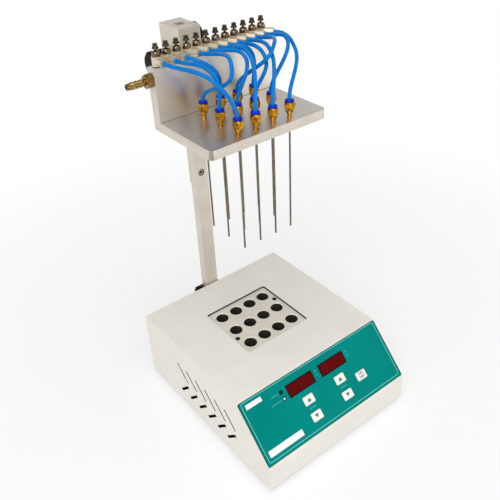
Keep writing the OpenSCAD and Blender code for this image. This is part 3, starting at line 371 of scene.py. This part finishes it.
# painted glints and dark reflections: the brass's bright and dark mottle, 2.5 mm across
turned_brass_painted_glints = turned_metal("turned_brass_painted_glints", "#E4A830", "#5E3A08", (0.05, 0.15), stain_and_sheen_size=2.5)
dull_brass = turned_metal("tarnished_brass", "#B0925A", "#6E5530", (0.2, 0.34), stain_and_sheen_size=4)
# the nickel's mottle is partly wear and partly painted glints and dark reflections
warm_nickel = turned_metal("worn_nickel_plating_painted_glints", "#A08B6C", "#4C3D2C", (0.12, 0.24), stain_and_sheen_size=2.5)
knurl_nickel = turned_metal("knurled_nickel_plating", "#5F523A", "#382F22", (0.3, 0.45))
black_oxide = turned_metal("black_oxide_steel", "#3B3A3A", "#262626", (0.3, 0.45))
socket_steel = turned_metal("bright_screw_steel", "#A39D92", "#7C766C", (0.2, 0.34))
drawn_steel = turned_metal("drawn_stainless_tube", "#887A6D", "#5F5245", (0.22, 0.34))
heater_steel = turned_metal("swaged_heater_steel", "#8F8B86", "#6E6A66", (0.3, 0.45))
valve_plating = blasted_aluminium("satin_nickel_valve_body", "#DCD0B9", "#C4B69D", 0.6, (0.3, 0.42))
black_moulding = moulded_plastic("black_phenolic_moulding", "#0F0D0C", "#171411", level=0.05)
inlet_moulding = moulded_plastic("black_nylon_moulding", "#151517", "#1E1E20", (0.4, 0.55))
key_moulding = moulded_plastic("white_abs_keycap", "#EEEBE6", "#E3DFD8", (0.35, 0.45), 0.25, 0.006)
blue_moulding = moulded_plastic("blue_acetal_collar", "#0629C4", "#041C9A", (0.25, 0.38), level=0.15)
grey_moulding = moulded_plastic("grey_blue_acetal_collar", "#8C9AA6", "#71818F", (0.3, 0.42))
# painted shade: near-black on cut edges, vents, counterbores and screw sockets that lie in shadow
painted_shade_dark = powder_coated_steel("painted_shade_in_cuts_and_holes", "#1D1A17", "#131110", 0.6, 0.02, (0.7, 0.85))
# painted shade in the crease where the two plates meet
joint_shade = powder_coated_steel("painted_shade_in_plate_joint", "#6E675C", "#5A544B", 0.6, 0.01, (0.6, 0.75))
# painted shade on the walls inside the block's wells and lifting holes
painted_bore_shade = turned_metal("bored_aluminium_painted_shade", "#3A352E", "#25211C", (0.6, 0.75), metallic=0.2)
foot_rubber = black_rubber("moulded_foot_rubber")
seal_rubber = black_rubber("seal_rubber")
hose_blue = extruded_hose()
teal_film = printed_film()
red_window = tinted_window()
fibre = fibre_board("pressed_ceramic_fibre")
green_board = solder_mask()
core_iron = stacked_laminations()
winding = wound_copper()
pale_ink = screen_ink("pale_teal_ink", "#8FD6CE", "#7CCBC2")
soft_ink = screen_ink("soft_teal_ink", "#2FA9A0", "#289E95")
white_ink = screen_ink("white_ink", "#F6F5F2", "#EEEDE9")
# painted shadow along the film's cut edge
film_edge_shadow_paint = screen_ink("painted_film_edge_shadow_ink", "#005851", "#004E48", 0.05)
# painted shadow in the film's punched holes round the lamps
lamp_hole_shadow_paint = screen_ink("punched_edge_painted_shadow", "#00352F", "#002C28", 0.05)
teal_ink = screen_ink("dark_teal_ink", "#0B7C70", "#0A6F65")
grey_ink = screen_ink("grey_teal_ink", "#68827E", "#5C7672")
black_ink = screen_ink("black_ink", "#1A0E10", "#140A0C", 0.03)
segment_ink = screen_ink("unlit_segments", "#4E080A", "#460708", 0.02)
# the lower lamp's near-white lens colour is partly painted glint
clear_lens_painted_glint = led_lens("clear_led_lens_painted_glint", "#F0F0EE", "#A9ADAB")
lens_dark = led_lens("smoked_led_lens", "#12302B", "#0A1E1B", 0.08)
relay_blue = moulded_plastic("relay_blue_moulding", "#1D4E9C", "#173F80")
chip_black = moulded_plastic("epoxy_chip_black", "#19191A", "#232324")
terminal_green = moulded_plastic("terminal_green_moulding", "#2F8F4E", "#277A42")
capacitor_sleeve = moulded_plastic("shrunk_capacitor_sleeve", "#27324A", "#1E283C", (0.2, 0.3))
pin_nickel = turned_metal("plated_brass_pins", "#C9C4B8", "#A49F94", (0.15, 0.25))

# ---------- finishes of the CAD nodes ----------


def finish(material, *names):
    """Gives whole CAD nodes one material."""
    for name in names:
        mesh = nodes[name].data
        mesh.materials.clear()
        mesh.materials.append(material)


def finish_part(node, material, test):
    """Gives the faces of a CAD node whose middles, in millimetres, pass a test a second material."""
    mesh = nodes[node].data
    mesh.materials.append(material)
    index = len(mesh.materials) - 1
    for face in mesh.polygons:
        if test(Vector(face.center) / MM, face.normal):
            face.material_index = index


finish(ivory_coat, "top_cover", "left_panel", "right_panel")
finish(zinc_sheet, "base_plate")
finish(foot_rubber, "rubber_feet")
finish(seal_rubber, "valve_seals")
finish(black_oxide, "case_screws", "carriage_screws", "plate_screws")
finish(socket_steel, "rack_screws")
finish(teal_film, "control_overlay")
finish(red_window, "display_modules")
finish(key_moulding, "temperature_up_key", "temperature_down_key", "time_up_key", "time_down_key",
       "start_key")
finish(green_board, "key_board", "control_board")
finish(core_iron, "power_transformer")
finish(block_blasted, "heating_block")
finish(raw_plate, "hot_plate")
finish(heater_steel, "heater_cartridges", "temperature_probe")
finish(fibre, "insulation_frame")
finish(inlet_moulding, "power_inlet", "switch_housing", "power_rocker")
finish(black_coat, "mast_socket")
finish(black_moulding, "mast_clamp_knob", "lift_knob", "lock_knob")
finish(bar_satin, "mast", "carriage", "head_arm")
finish(yellow_zinc, "rack")
finish(warm_nickel, "pinion_shaft", "banjo_bolts")
finish(knurl_nickel, *(f"valve_screw_{k:02d}" for k in range(1, 13)))
finish(plate_brushed, "manifold_plate", "needle_plate")
finish(turned_brass_painted_glints, "needle_fittings")
finish(dull_brass, "gas_inlet")
finish(valve_plating, "valve_bodies")
finish(blue_moulding, "fitting_collars")
finish(grey_moulding, "port_collars")
finish(drawn_steel, "needles")
finish(hose_blue, "hoses")
finish(clear_lens_painted_glint, "indicator_lamps")

# the upper of the two lamps is the dark one
lamp_low, lamp_high = box_mm("indicator_lamps")
lamp_middle = (lamp_low + lamp_high) / 2
finish_part("indicator_lamps", lens_dark,
            lambda p, n: (p.y - lamp_middle.y) + (p.z - lamp_middle.z) > 0)

finish_part("manifold_plate", sawn_edge, lambda p, n: abs(n.y) < 0.5)
finish_part("needle_plate", sawn_edge, lambda p, n: abs(n.z) < 0.5)
# the plate's rounded corners are painted darker as the dark reflection they show
finish_part("needle_plate", painted_corner_reflection, lambda p, n: abs(n.x) > 0.45 and abs(n.y) > 0.45)

# the wells below their bright chamfers, and the lifting holes, are painted dark as the shade inside the
# bores
WELL_PITCH = (21.5, 28.7)
WELL_D = 15.5
WELL_CHAMFER = 0.8
LIFT_HOLE_IN = 4.25
LIFT_HOLE_R = 3.0
block_low, block_high = box_mm("heating_block")
block_middle = (block_low + block_high) / 2
BORES = [(block_middle.x + (column - 1.5) * WELL_PITCH[0],
          block_middle.y + (row - 1) * WELL_PITCH[1], WELL_D / 2)
         for column in range(4) for row in range(3)]
BORES += [(side * (block_high.x - LIFT_HOLE_IN), block_middle.y + side * WELL_PITCH[1] / 2, LIFT_HOLE_R)
          for side in (-1, 1)]


def in_bore(p, n):
    """Whether a point of the block lies inside a bore, and below the chamfer if that is a well."""
    on_chamfer = p.z > block_high.z - 0.75 * WELL_CHAMFER and n.z < 0.9
    return any(math.hypot(p.x - x, p.y - y) < r + 0.05 for x, y, r in BORES
               if r == LIFT_HOLE_R or not on_chamfer)


finish_part("heating_block", painted_bore_shade, in_bore)

# the cut-out for the block and the vents look black: their cut edges lie in shadow, which is painted on
# them near-black
cover_low, cover_high = box_mm("top_cover")


def in_cut_out(p, n):
    """Whether a point of the cover lies on the cut edge round the block."""
    return (abs(n.z) < 0.5 and p.z > cover_high.z - 3 and block_low.x - 3 < p.x < block_high.x + 3
            and block_low.y - 3 < p.y < block_high.y + 3)


def in_vent(p, n):
    """Whether a point of a side panel lies on the cut edge of a slit or a slot."""
    return (abs(n.x) < 0.5 and cover_low.y + 48 < p.y < cover_high.y - 50
            and cover_low.z + 14 < p.z < cover_high.z - 18)


finish_part("top_cover", painted_shade_dark, in_cut_out)
finish_part("left_panel", painted_shade_dark, in_vent)
finish_part("right_panel", painted_shade_dark, in_vent)

# the rack's screws sit deep in counterbores whose walls, like the screws' hexagon sockets, are painted
# black as shade
mast_low, mast_high = box_mm("mast")
screw_low, screw_high = box_mm("rack_screws")
COUNTERBORE_DEPTH = 4.7
COUNTERBORE_R = 4.25
SCREW_HEAD_D = 7.0
SOCKET_R = 1.95
SOCKET_DEPTH = 2.6
screw_heights = [screw_low.z + (screw_high.z - screw_low.z - SCREW_HEAD_D) * i / 2 + SCREW_HEAD_D / 2
                 for i in range(3)]
finish_part("mast", painted_shade_dark, lambda p, n: (
    abs(p.x - (mast_low.x + mast_high.x) / 2) < COUNTERBORE_R
    and p.y < mast_low.y + COUNTERBORE_DEPTH and abs(n.y) < 0.9
    and mast_low.z + 1 < p.z < mast_high.z - 1))
finish_part("rack_screws", painted_shade_dark, lambda p, n: (
    screw_low.y + 0.05 < p.y < screw_low.y + SOCKET_DEPTH
    and any(math.hypot(p.x, p.z - z) < SOCKET_R for z in screw_heights)))

# inside the case: boards, transformer and the inlet's pins
board_low, board_high = box_mm("control_board")
BOARD_T = 1.6


def on_board(x0, x1, y0, y1):
    """A test for what stands on the control board between these distances from its middle."""
    middle = (board_low + board_high) / 2
    return lambda p, n: (p.z > board_low.z + BOARD_T + 0.1 and x0 < p.x - middle.x < x1
                         and y0 < p.y - middle.y < y1)


finish_part("control_board", relay_blue, on_board(-61, -31, 0, 16))
finish_part("control_board", terminal_green, on_board(-62, -30, -20, -8))
finish_part("control_board", terminal_green, on_board(24, 56, -20, -8))
finish_part("control_board", raw_plate, on_board(-20, 20, 9, 19))
finish_part("control_board", capacitor_sleeve, on_board(27, 57, 3, 17))
finish_part("control_board", chip_black, on_board(-8, 16, -24, -1))

core_low, core_high = box_mm("power_transformer")
core_middle_x = (core_low.x + core_high.x) / 2
finish_part("power_transformer", winding, lambda p, n: abs(p.x - core_middle_x) > 17.2)
inlet_low, inlet_high = box_mm("power_inlet")
finish_part("power_inlet", pin_nickel, lambda p, n: (
    inlet_low.x + 5 < p.x < inlet_high.x - 5 and inlet_low.y + 5.2 < p.y < inlet_high.y - 3
    and abs(p.z - (inlet_low.z + inlet_high.z) / 2) < 5))

# ---------- softened edges ----------


def soften(node, width, angle=30, segments=2):
    """Breaks the sharp edges of a CAD node as deburring and tumbling do."""
    piece = nodes[node]
    weld = piece.modifiers.new("weld", "WELD")
    weld.merge_threshold = 1e-6
    bevel = piece.modifiers.new("broken_edges", "BEVEL")
    bevel.width = width * MM
    bevel.segments = segments
    bevel.limit_method = "ANGLE"
    bevel.angle_limit = math.radians(angle)
    bevel.harden_normals = True
    bevel.use_clamp_overlap = True


EDGE_WIDTHS = {
    "manifold_plate": 0.4, "needle_plate": 0.7, "carriage": 0.8, "head_arm": 0.5, "mast": 0.4,
    "heating_block": 0.25, "mast_socket": 0.6, "lift_knob": 0.5, "lock_knob": 0.5,
    "mast_clamp_knob": 0.4, "power_inlet": 0.3, "switch_housing": 0.3, "power_rocker": 0.4,
    "temperature_up_key": 0.3, "temperature_down_key": 0.3, "time_up_key": 0.3,
    "time_down_key": 0.3, "start_key": 0.3, "top_cover": 0.2, "left_panel": 0.25,
    "right_panel": 0.25, "rack": 0.12,
}
for node_name, edge_width in EDGE_WIDTHS.items():
    soften(node_name, edge_width)

# ---------- joint between the two plates ----------


def make_plate_joint():
    """The dark line of painted shade where the level plate meets the upright one."""
    low, high = box_mm("needle_plate")
    half = (high.x - low.x) / 2 - 0.6
    corners = [(x, y, z) for x in (-half, half) for y, z in
               ((high.y + 0.05, high.z - 0.1), (high.y - 0.55, high.z - 0.1),
                (high.y - 0.55, high.z + 0.06), (high.y + 0.05, high.z + 0.4))]
    mesh = bpy.data.meshes.new("plate_joint_line")
    mesh.from_pydata([Vector(c) * MM for c in corners], [], [
        (0, 1, 2, 3), (7, 6, 5, 4), (0, 4, 5, 1), (1, 5, 6, 2), (2, 6, 7, 3), (3, 7, 4, 0),
    ])
    shaped = bmesh.new()
    shaped.from_mesh(mesh)
    bmesh.ops.recalc_face_normals(shaped, faces=shaped.faces)
    shaped.to_mesh(mesh)
    shaped.free()
    mesh.materials.append(joint_shade)
    line = bpy.data.objects.new("plate_joint_line", mesh)
    bpy.context.scene.collection.objects.link(line)
    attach(line, "head")


make_plate_joint()

# ---------- gas hoses ----------

HOSE_D = 4.0
HOSE_IN = 4.5
PORT_REACH = 13.3
RING_H = 2.5
VALVE_PITCH = 11.7
NEEDLE_R = 1.0
HOSE_STEPS = 24
# for each hose from the left: the column and the row of its needle, how far its port is
# swivelled, and how far the hose's middle bows out from the straight line between its ends
HOSES = [
    (0, 0, 0, (3, -20, 12)), (0, 1, 4, (0, -27, 17)),
    (1, 2, 10, (3, -15, 9)), (0, 2, 28, (-1, -54, 20)),
    (1, 1, 30, (16, -16, 19)), (1, 0, 30, (14, 0, 23)),
    (3, 2, 34, (5, -8, 16)), (2, 1, 34, (9, -21, 11)),
    (2, 0, 34, (10, -6, 19)), (2, 2, 35, (1, -41, 23)),
    (3, 1, 35, (20, -7, 21)), (3, 0, 44, (20, 2, 11)),
]


def hermite(start, leave, end, arrive, first):
    """A smooth curve that leaves start along one vector and arrives at end along another."""
    points = []
    for i in range(first, HOSE_STEPS + 1):
        t = i / HOSE_STEPS
        u = 1 - t
        points.append((1 + 2 * t) * u * u * start + t * u * u * leave
                      + t * t * (3 - 2 * t) * end - t * t * u * arrive)
    return points


def hose_points(k):
    """The middle line of hose k, from inside its valve's port to inside its needle fitting."""
    column, row, swivel, bow = HOSES[k]
    plate_low, plate_high = box_mm("manifold_plate")
    body_low, body_high = box_mm("valve_bodies")
    needle_low, needle_high = box_mm("needles")
    fitting_top = box_mm("needle_fittings")[1].z
    turn = math.radians(swivel)
    out = Vector((math.sin(turn), -math.cos(turn), 0))
    valve = Vector((
        (k - (len(HOSES) - 1) / 2) * VALVE_PITCH,
        (plate_low.y + plate_high.y) / 2,
        (body_low.z + body_high.z) / 2,
    ))
    collar = Vector((
        needle_low.x + NEEDLE_R + column * (needle_high.x - needle_low.x - 2 * NEEDLE_R) / 3,
        needle_low.y + NEEDLE_R + row * (needle_high.y - needle_low.y - 2 * NEEDLE_R) / 2,
        fitting_top + RING_H + 0.5,
    ))
    mouth = valve + out * (PORT_REACH + 1)
    middle = (mouth + collar) / 2 + Vector(bow)
    near, far = (middle - mouth).length, (collar - middle).length
    along = ((middle - mouth) / near + (collar - middle) / far).normalized()
    inside = Vector((collar.x, collar.y, fitting_top - HOSE_IN))
    return [
        valve + out * (PORT_REACH - HOSE_IN),
        *hermite(mouth, 1.2 * near * out, middle, near * along, 0),
        *hermite(middle, far * along, collar, Vector((0, 0, -0.8 * far)), 1),
        inside,
    ], valve + out * PORT_REACH


def make_hose(k):
    """Hose k as a tube along its middle line, in the place of the CAD hoses."""
    points, exit_point = hose_points(k)
    name = f"gas_hose_{k + 1:02d}"
    curve = bpy.data.curves.new(name, "CURVE")
    curve.dimensions = "3D"
    curve.bevel_depth = HOSE_D / 2 * MM
    curve.bevel_resolution = 6
    curve.use_fill_caps = True
    spline = curve.splines.new("POLY")
    spline.points.add(len(points) - 1)
    for target, point in zip(spline.points, points):
        target.co = (*(point * MM), 1)
    curve.materials.append(hose_blue)
    hose = bpy.data.objects.new(name, curve)
    bpy.context.scene.collection.objects.link(hose)
    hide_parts("hoses")
    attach(hose, "head")


for hose_number in range(len(HOSES)):
    make_hose(hose_number)

# ---------- printed control panel ----------

SLOPE_RUN = 54.6
LIP_H = 34.1
FILM_T = 0.8
KEY_PROUD = 0.7
INK_T = 0.04
PANEL_EDGE = 0.3
BEND_R = 3.0
FIT_GAP = 0.1

fold = Vector((0, cover_low.y + SLOPE_RUN, cover_high.z))
lip = Vector((0, cover_low.y, cover_low.z + LIP_H))
down = (lip - fold).normalized()
outward = Vector((0, down.z, -down.y))
slope_length = (lip - fold).length


def on_panel(x, s, height):
    """A point x across and s down the sloping panel, height above its sheet, in metres."""
    return (fold + Vector((x, 0, 0)) + down * s + outward * height) * MM


def print_shape(name, loops, height, material, body="stand"):
    """A thin printed shape. Each loop is an outline of (x, s) points, or two of them for a ring."""
    made = bmesh.new()
    for loop in loops:
        rings = loop if isinstance(loop[0][0], (tuple, list)) else [loop]
        layers = [[[made.verts.new(on_panel(x, s, h)) for x, s in ring] for ring in rings]
                  for h in (height, height + INK_T)]
        count = len(rings[0])
        if len(rings) == 1:
            made.faces.new(layers[1][0])
            made.faces.new(layers[0][0][::-1])
        for i in range(count):
            j = (i + 1) % count
            for ring in range(len(rings)):
                made.faces.new((layers[0][ring][i], layers[0][ring][j],
                                layers[1][ring][j], layers[1][ring][i]))
            if len(rings) == 2:
                for layer in layers:
                    made.faces.new((layer[0][i], layer[0][j], layer[1][j], layer[1][i]))
    bmesh.ops.recalc_face_normals(made, faces=made.faces)
    mesh = bpy.data.meshes.new(name)
    made.to_mesh(mesh)
    made.free()
    mesh.materials.append(material)
    shape = bpy.data.objects.new(name, mesh)
    bpy.context.scene.collection.objects.link(shape)
    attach(shape, body)
    return shape


def rounded_rectangle(x0, s0, x1, s1, radius, steps=5):
    """An outline with rounded corners, as (x, s) points."""
    corners = [(x1 - radius, s1 - radius, 0), (x0 + radius, s1 - radius, 90),
               (x0 + radius, s0 + radius, 180), (x1 - radius, s0 + radius, 270)]
    return [(cx + radius * math.cos(math.radians(a + 90 * i / steps)),
             cs + radius * math.sin(math.radians(a + 90 * i / steps)))
            for cx, cs, a in corners for i in range(steps + 1)]


film_half_w = (cover_high.x - cover_low.x) / 2 + 1.5 - PANEL_EDGE
film_top = BEND_R * math.tan(math.acos(-down.y) / 2) + FIT_GAP
film_bottom = film_top + slope_length - 3.6
film_outline = (-film_half_w, film_top, film_half_w, film_bottom)
FRAME_LINE = 0.48


def grow(box, left, top, right=None, bottom=None):
    """A box of x0, s0, x1, s1 made larger at its sides, the same left and right where none is given."""
    return (box[0] - left, box[1] - top, box[2] + (left if right is None else right),
            box[3] + (top if bottom is None else bottom))


frame_outline = grow(film_outline, -3.2, -1.3, bottom=-3.3)
print_shape("printed_frame_line", [[
    rounded_rectangle(*frame_outline, 2.6),
    rounded_rectangle(*grow(frame_outline, -FRAME_LINE, -FRAME_LINE), 2.1),
]], FILM_T, pale_ink)
# painted shadow: a dark band along the film's cut edge
print_shape("painted_film_edge_shadow", [[
    rounded_rectangle(*grow(film_outline, -0.15, -0.1), 1.9),
    rounded_rectangle(*grow(film_outline, -1.3, -0.7, bottom=-0.45), 1.9),
]], FILM_T, film_edge_shadow_paint)

# two blank white fields
WHITE_FIELDS = [(-97.3, 6.5, -76.0, 11.7), (-97.4, 61.3, -49.4, 68.4)]
print_shape("blank_white_fields", [rounded_rectangle(*field, 0.4) for field in WHITE_FIELDS],
            FILM_T, white_ink)

# faint rows of dashes where the panel is printed beside lamps, displays and keys
DASH_ROWS = [
    (-65.3, 15.0, 5, 1.5), (-69.3, 23.1, 7, 1.5), (-29.3, 48.5, 5, 1.5), (19.0, 48.5, 5, 1.5),
    (-1.6, 15.4, 1, 2.4), (-1.6, 20.0, 1, 2.4), (47.2, 15.6, 1, 2.4), (47.2, 20.2, 1, 2.4),
]
DASH_W = 1.5
DASH_STEP = 2.1
print_shape("faint_dashes", [
    rounded_rectangle(x + i * DASH_STEP, s - high / 2, x + i * DASH_STEP + DASH_W, s + high / 2, 0.3, 2)
    for x, s, count, high in DASH_ROWS for i in range(count)
], FILM_T, soft_ink)

# the film's punched holes show as dark rings around the lamps: painted shadow
LAMPS = [(-51.4, 15.2), (-51.0, 23.2)]


def circle(x, s, radius, steps=20):
    """A round outline, as (x, s) points."""
    return [(x + radius * math.cos(math.tau * i / steps), s + radius * math.sin(math.tau * i / steps))
            for i in range(steps)]


print_shape("lamp_hole_edges", [[circle(x, s, 2.6), circle(x, s, 1.78)] for x, s in LAMPS],
            FILM_T, lamp_hole_shadow_paint)

DISPLAYS = [-24.8, 23.8]
DISPLAY_S = 19.1
DISPLAY_W = 38.8
DISPLAY_H = 15.0
WINDOW_TOP = FILM_T - 0.2
BEZEL = 1.3


def display_box(x, grown=0.0):
    """The outline of the window about x, larger all round by grown."""
    return (x - DISPLAY_W / 2 - grown, DISPLAY_S - DISPLAY_H / 2 - grown,
            x + DISPLAY_W / 2 + grown, DISPLAY_S + DISPLAY_H / 2 + grown)


print_shape("window_borders", [
    [rounded_rectangle(*display_box(x), 0.3, 2), rounded_rectangle(*display_box(x, -BEZEL), 0.3, 2)]
    for x in DISPLAYS
], WINDOW_TOP, black_ink)

DIGITS = 4
DIGIT_W = 5.0
DIGIT_H = 9.4
SEGMENT_T = 0.9
SEGMENT_GAP = 0.18
SLANT = 0.12


def segment(x, s, length, upright):
    """One six-sided segment of a digit, about its middle."""
    half, t = length / 2 - SEGMENT_GAP, SEGMENT_T / 2
    shape = [(-half, 0), (-half + t, -t), (half - t, -t), (half, 0), (half - t, t), (-half + t, t)]
    return [(x + (b if upright else a), s + (a if upright else b)) for a, b in shape]


def digit(x, s):
    """The seven unlit segments of one digit, slanted to the right."""
    shapes = [segment(x, s + q * DIGIT_H / 2, DIGIT_W, False) for q in (-1, 0, 1)]
    shapes += [segment(x + p * DIGIT_W / 2, s + q * DIGIT_H / 4, DIGIT_H / 2, True)
               for p in (-1, 1) for q in (-1, 1)]
    return [[(px - (ps - s) * SLANT, ps) for px, ps in shape] for shape in shapes]


print_shape("unlit_digits", [
    shape for x in DISPLAYS for i in range(DIGITS)
    for shape in digit(x + (i - (DIGITS - 1) / 2) * DISPLAY_W * 0.94 / DIGITS, DISPLAY_S)
], WINDOW_TOP, segment_ink)

KEY_X = (-24.7, 23.7)
KEY_UPPER_S = 38.7
KEY_LOWER_S = 58.7
START_X = 52.0
KEY_TOP = FILM_T + KEY_PROUD
ARROW_W = 5.8
ARROW_H = 4.5


def print_arrow(name, x, s, points_up, body):
    """A small triangle on top of a key."""
    tip = -1 if points_up else 1
    outline = [(x, s + tip * ARROW_H / 2), (x - ARROW_W / 2, s - tip * ARROW_H / 2),
               (x + ARROW_W / 2, s - tip * ARROW_H / 2)]
    print_shape(name, [outline], KEY_TOP, teal_ink, body)


print_arrow("temperature_up_arrow", KEY_X[0], KEY_UPPER_S, True, "temperature_up")
print_arrow("temperature_down_arrow", KEY_X[0], KEY_LOWER_S, False, "temperature_down")
print_arrow("time_up_arrow", KEY_X[1], KEY_UPPER_S, True, "time_up")
print_arrow("time_down_arrow", KEY_X[1], KEY_LOWER_S, False, "time_down")


def print_words(name, lines, x, s, size, step, material, body):
    """Lines of plain capitals, centred on x, as a thin mesh on the key's top."""
    made = bpy.data.meshes.new(name)
    joined = bmesh.new()
    for i, line in enumerate(lines):
        text = bpy.data.curves.new(name, "FONT")
        text.body = line
        text.align_x = "CENTER"
        text.align_y = "CENTER"
        text.size = size
        text.extrude = INK_T / 2
        text.offset = 0.14
        holder = bpy.data.objects.new(name + "_text", text)
        bpy.context.scene.collection.objects.link(holder)
        depsgraph = bpy.context.evaluated_depsgraph_get()
        flat = bpy.data.meshes.new_from_object(holder.evaluated_get(depsgraph))
        middle_s = s + (i - (len(lines) - 1) / 2) * step
        for vertex in flat.vertices:
            vx, vy, vz = vertex.co
            vertex.co = on_panel(x + vx, middle_s - vy, KEY_TOP + INK_T / 2 + vz)
        joined.from_mesh(flat)
        bpy.data.objects.remove(holder)
        bpy.data.meshes.remove(flat)
    bmesh.ops.recalc_face_normals(joined, faces=joined.faces)
    joined.to_mesh(made)
    joined.free()
    made.materials.append(material)
    words = bpy.data.objects.new(name, made)
    bpy.context.scene.collection.objects.link(words)
    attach(words, body)


print_words("start_key_words", ["ON", "OFF"], START_X, (KEY_UPPER_S + KEY_LOWER_S) / 2, 4.4, 4.5,
            grey_ink, "start")

# ---------- floor, light and surroundings ----------


def make_floor():
    """A plain matt floor, twelve metres square."""
    mesh = bpy.data.meshes.new("floor")
    half = 6.0
    corners = [(-half, -half, 0), (half, -half, 0), (half, half, 0), (-half, half, 0)]
    mesh.from_pydata(corners, [], [(0, 1, 2, 3)])
    material, tree, shader = new_material("matt_white_floor", Roughness=0.9)
    speck = noise(tree, 8, detail=2)
    mottle(tree, shader, speck, "#F7F7F6", "#F4F4F3")
    # seen or mirrored, the floor turns to plain white far off and keeps its shadow nearby
    place = add(tree, "TexCoord").outputs["Object"]
    far = add(tree, "VectorMath", {0: place}, operation="LENGTH").outputs["Value"]
    share = span(tree, far, 0.45, 1.0, 0.2, 0.75)
    rays = add(tree, "LightPath").outputs
    seen = add(tree, "Math", {0: rays["Is Camera Ray"], 1: rays["Is Glossy Ray"]}, operation="MAXIMUM")
    seen = add(tree, "Math", {0: seen.outputs[0], 1: rays["Is Transmission Ray"]}, operation="MAXIMUM")
    factor = add(tree, "Math", {0: seen.outputs[0], 1: share}, operation="MULTIPLY").outputs["Value"]
    white = add(tree, "Emission", {"Color": (1, 1, 1, 1), "Strength": 1.0})
    mixed = add(tree, "MixShader", {"Fac": factor, 1: shader.outputs[0], 2: white.outputs[0]})
    output = next(node for node in tree.nodes if node.type == "OUTPUT_MATERIAL")
    tree.links.new(mixed.outputs[0], output.inputs["Surface"])
    mesh.materials.append(material)
    floor = bpy.data.objects.new("floor", mesh)
    bpy.context.scene.collection.objects.link(floor)


def make_lamp(name, place, size, power, target=(0, 0, 0.15)):
    """A rectangular softbox aimed at the middle of the object."""
    data = bpy.data.lights.new(name, "AREA")
    data.shape = "RECTANGLE"
    data.size, data.size_y = size
    data.energy = power
    lamp = bpy.data.objects.new(name, data)
    lamp.location = place
    lamp.rotation_euler = (Vector(target) - Vector(place)).to_track_quat("-Z", "Y").to_euler()
    bpy.context.scene.collection.objects.link(lamp)


def make_world():
    """A pale room that is bright at the horizon and greyer overhead, as a studio's ceiling is."""
    world = bpy.data.worlds.new("studio")
    world.use_nodes = True
    tree = world.node_tree
    tree.nodes.clear()
    direction = add(tree, "TexCoord").outputs["Generated"]
    height = add(tree, "SeparateXYZ", {"Vector": direction}).outputs["Z"]
    ramp = add(tree, "ValToRGB", {"Fac": height})
    stops = ramp.color_ramp.elements
    stops[0].position, stops[0].color = 0.0, (0.92, 0.92, 0.92, 1)
    stops[1].position, stops[1].color = 0.85, (0.62, 0.62, 0.63, 1)
    for position, level in ((0.3, 0.88), (0.42, 0.56), (0.6, 0.44)):
        stop = stops.new(position)
        stop.color = (level, level, level, 1)
    # dark flags high between bright panels give turned metal its stripes, above what a camera sees
    flags = add(tree, "TexWave", {
        "Vector": direction, "Scale": 0.42, "Phase Offset": math.pi,
    }, bands_direction="X").outputs["Fac"]
    raised = span(tree, height, 0, 0.8, 0.34, 0.44)
    flagged = add(tree, "Math", {0: span(tree, flags, 1, 0, 0.35, 0.65), 1: raised},
                  operation="MULTIPLY").outputs["Value"]
    room = blend_colours(tree, flagged, ramp.outputs["Color"], "#3A3A3C")
    background = add(tree, "Background", {"Color": room, "Strength": 1.1})
    tree.links.new(background.outputs[0], add(tree, "OutputWorld").inputs["Surface"])
    bpy.context.scene.world = world


make_floor()
make_world()
make_lamp("key_softbox", (-1.1, -0.9, 1.5), (1.2, 1.2), 15.5)
make_lamp("overhead_softbox", (-0.2, -0.3, 1.9), (1.4, 1.4), 10.5)
make_lamp("front_softbox", (0.9, -1.5, 0.6), (0.9, 0.9), 4)

bpy.context.scene.view_settings.view_transform = "Standard"
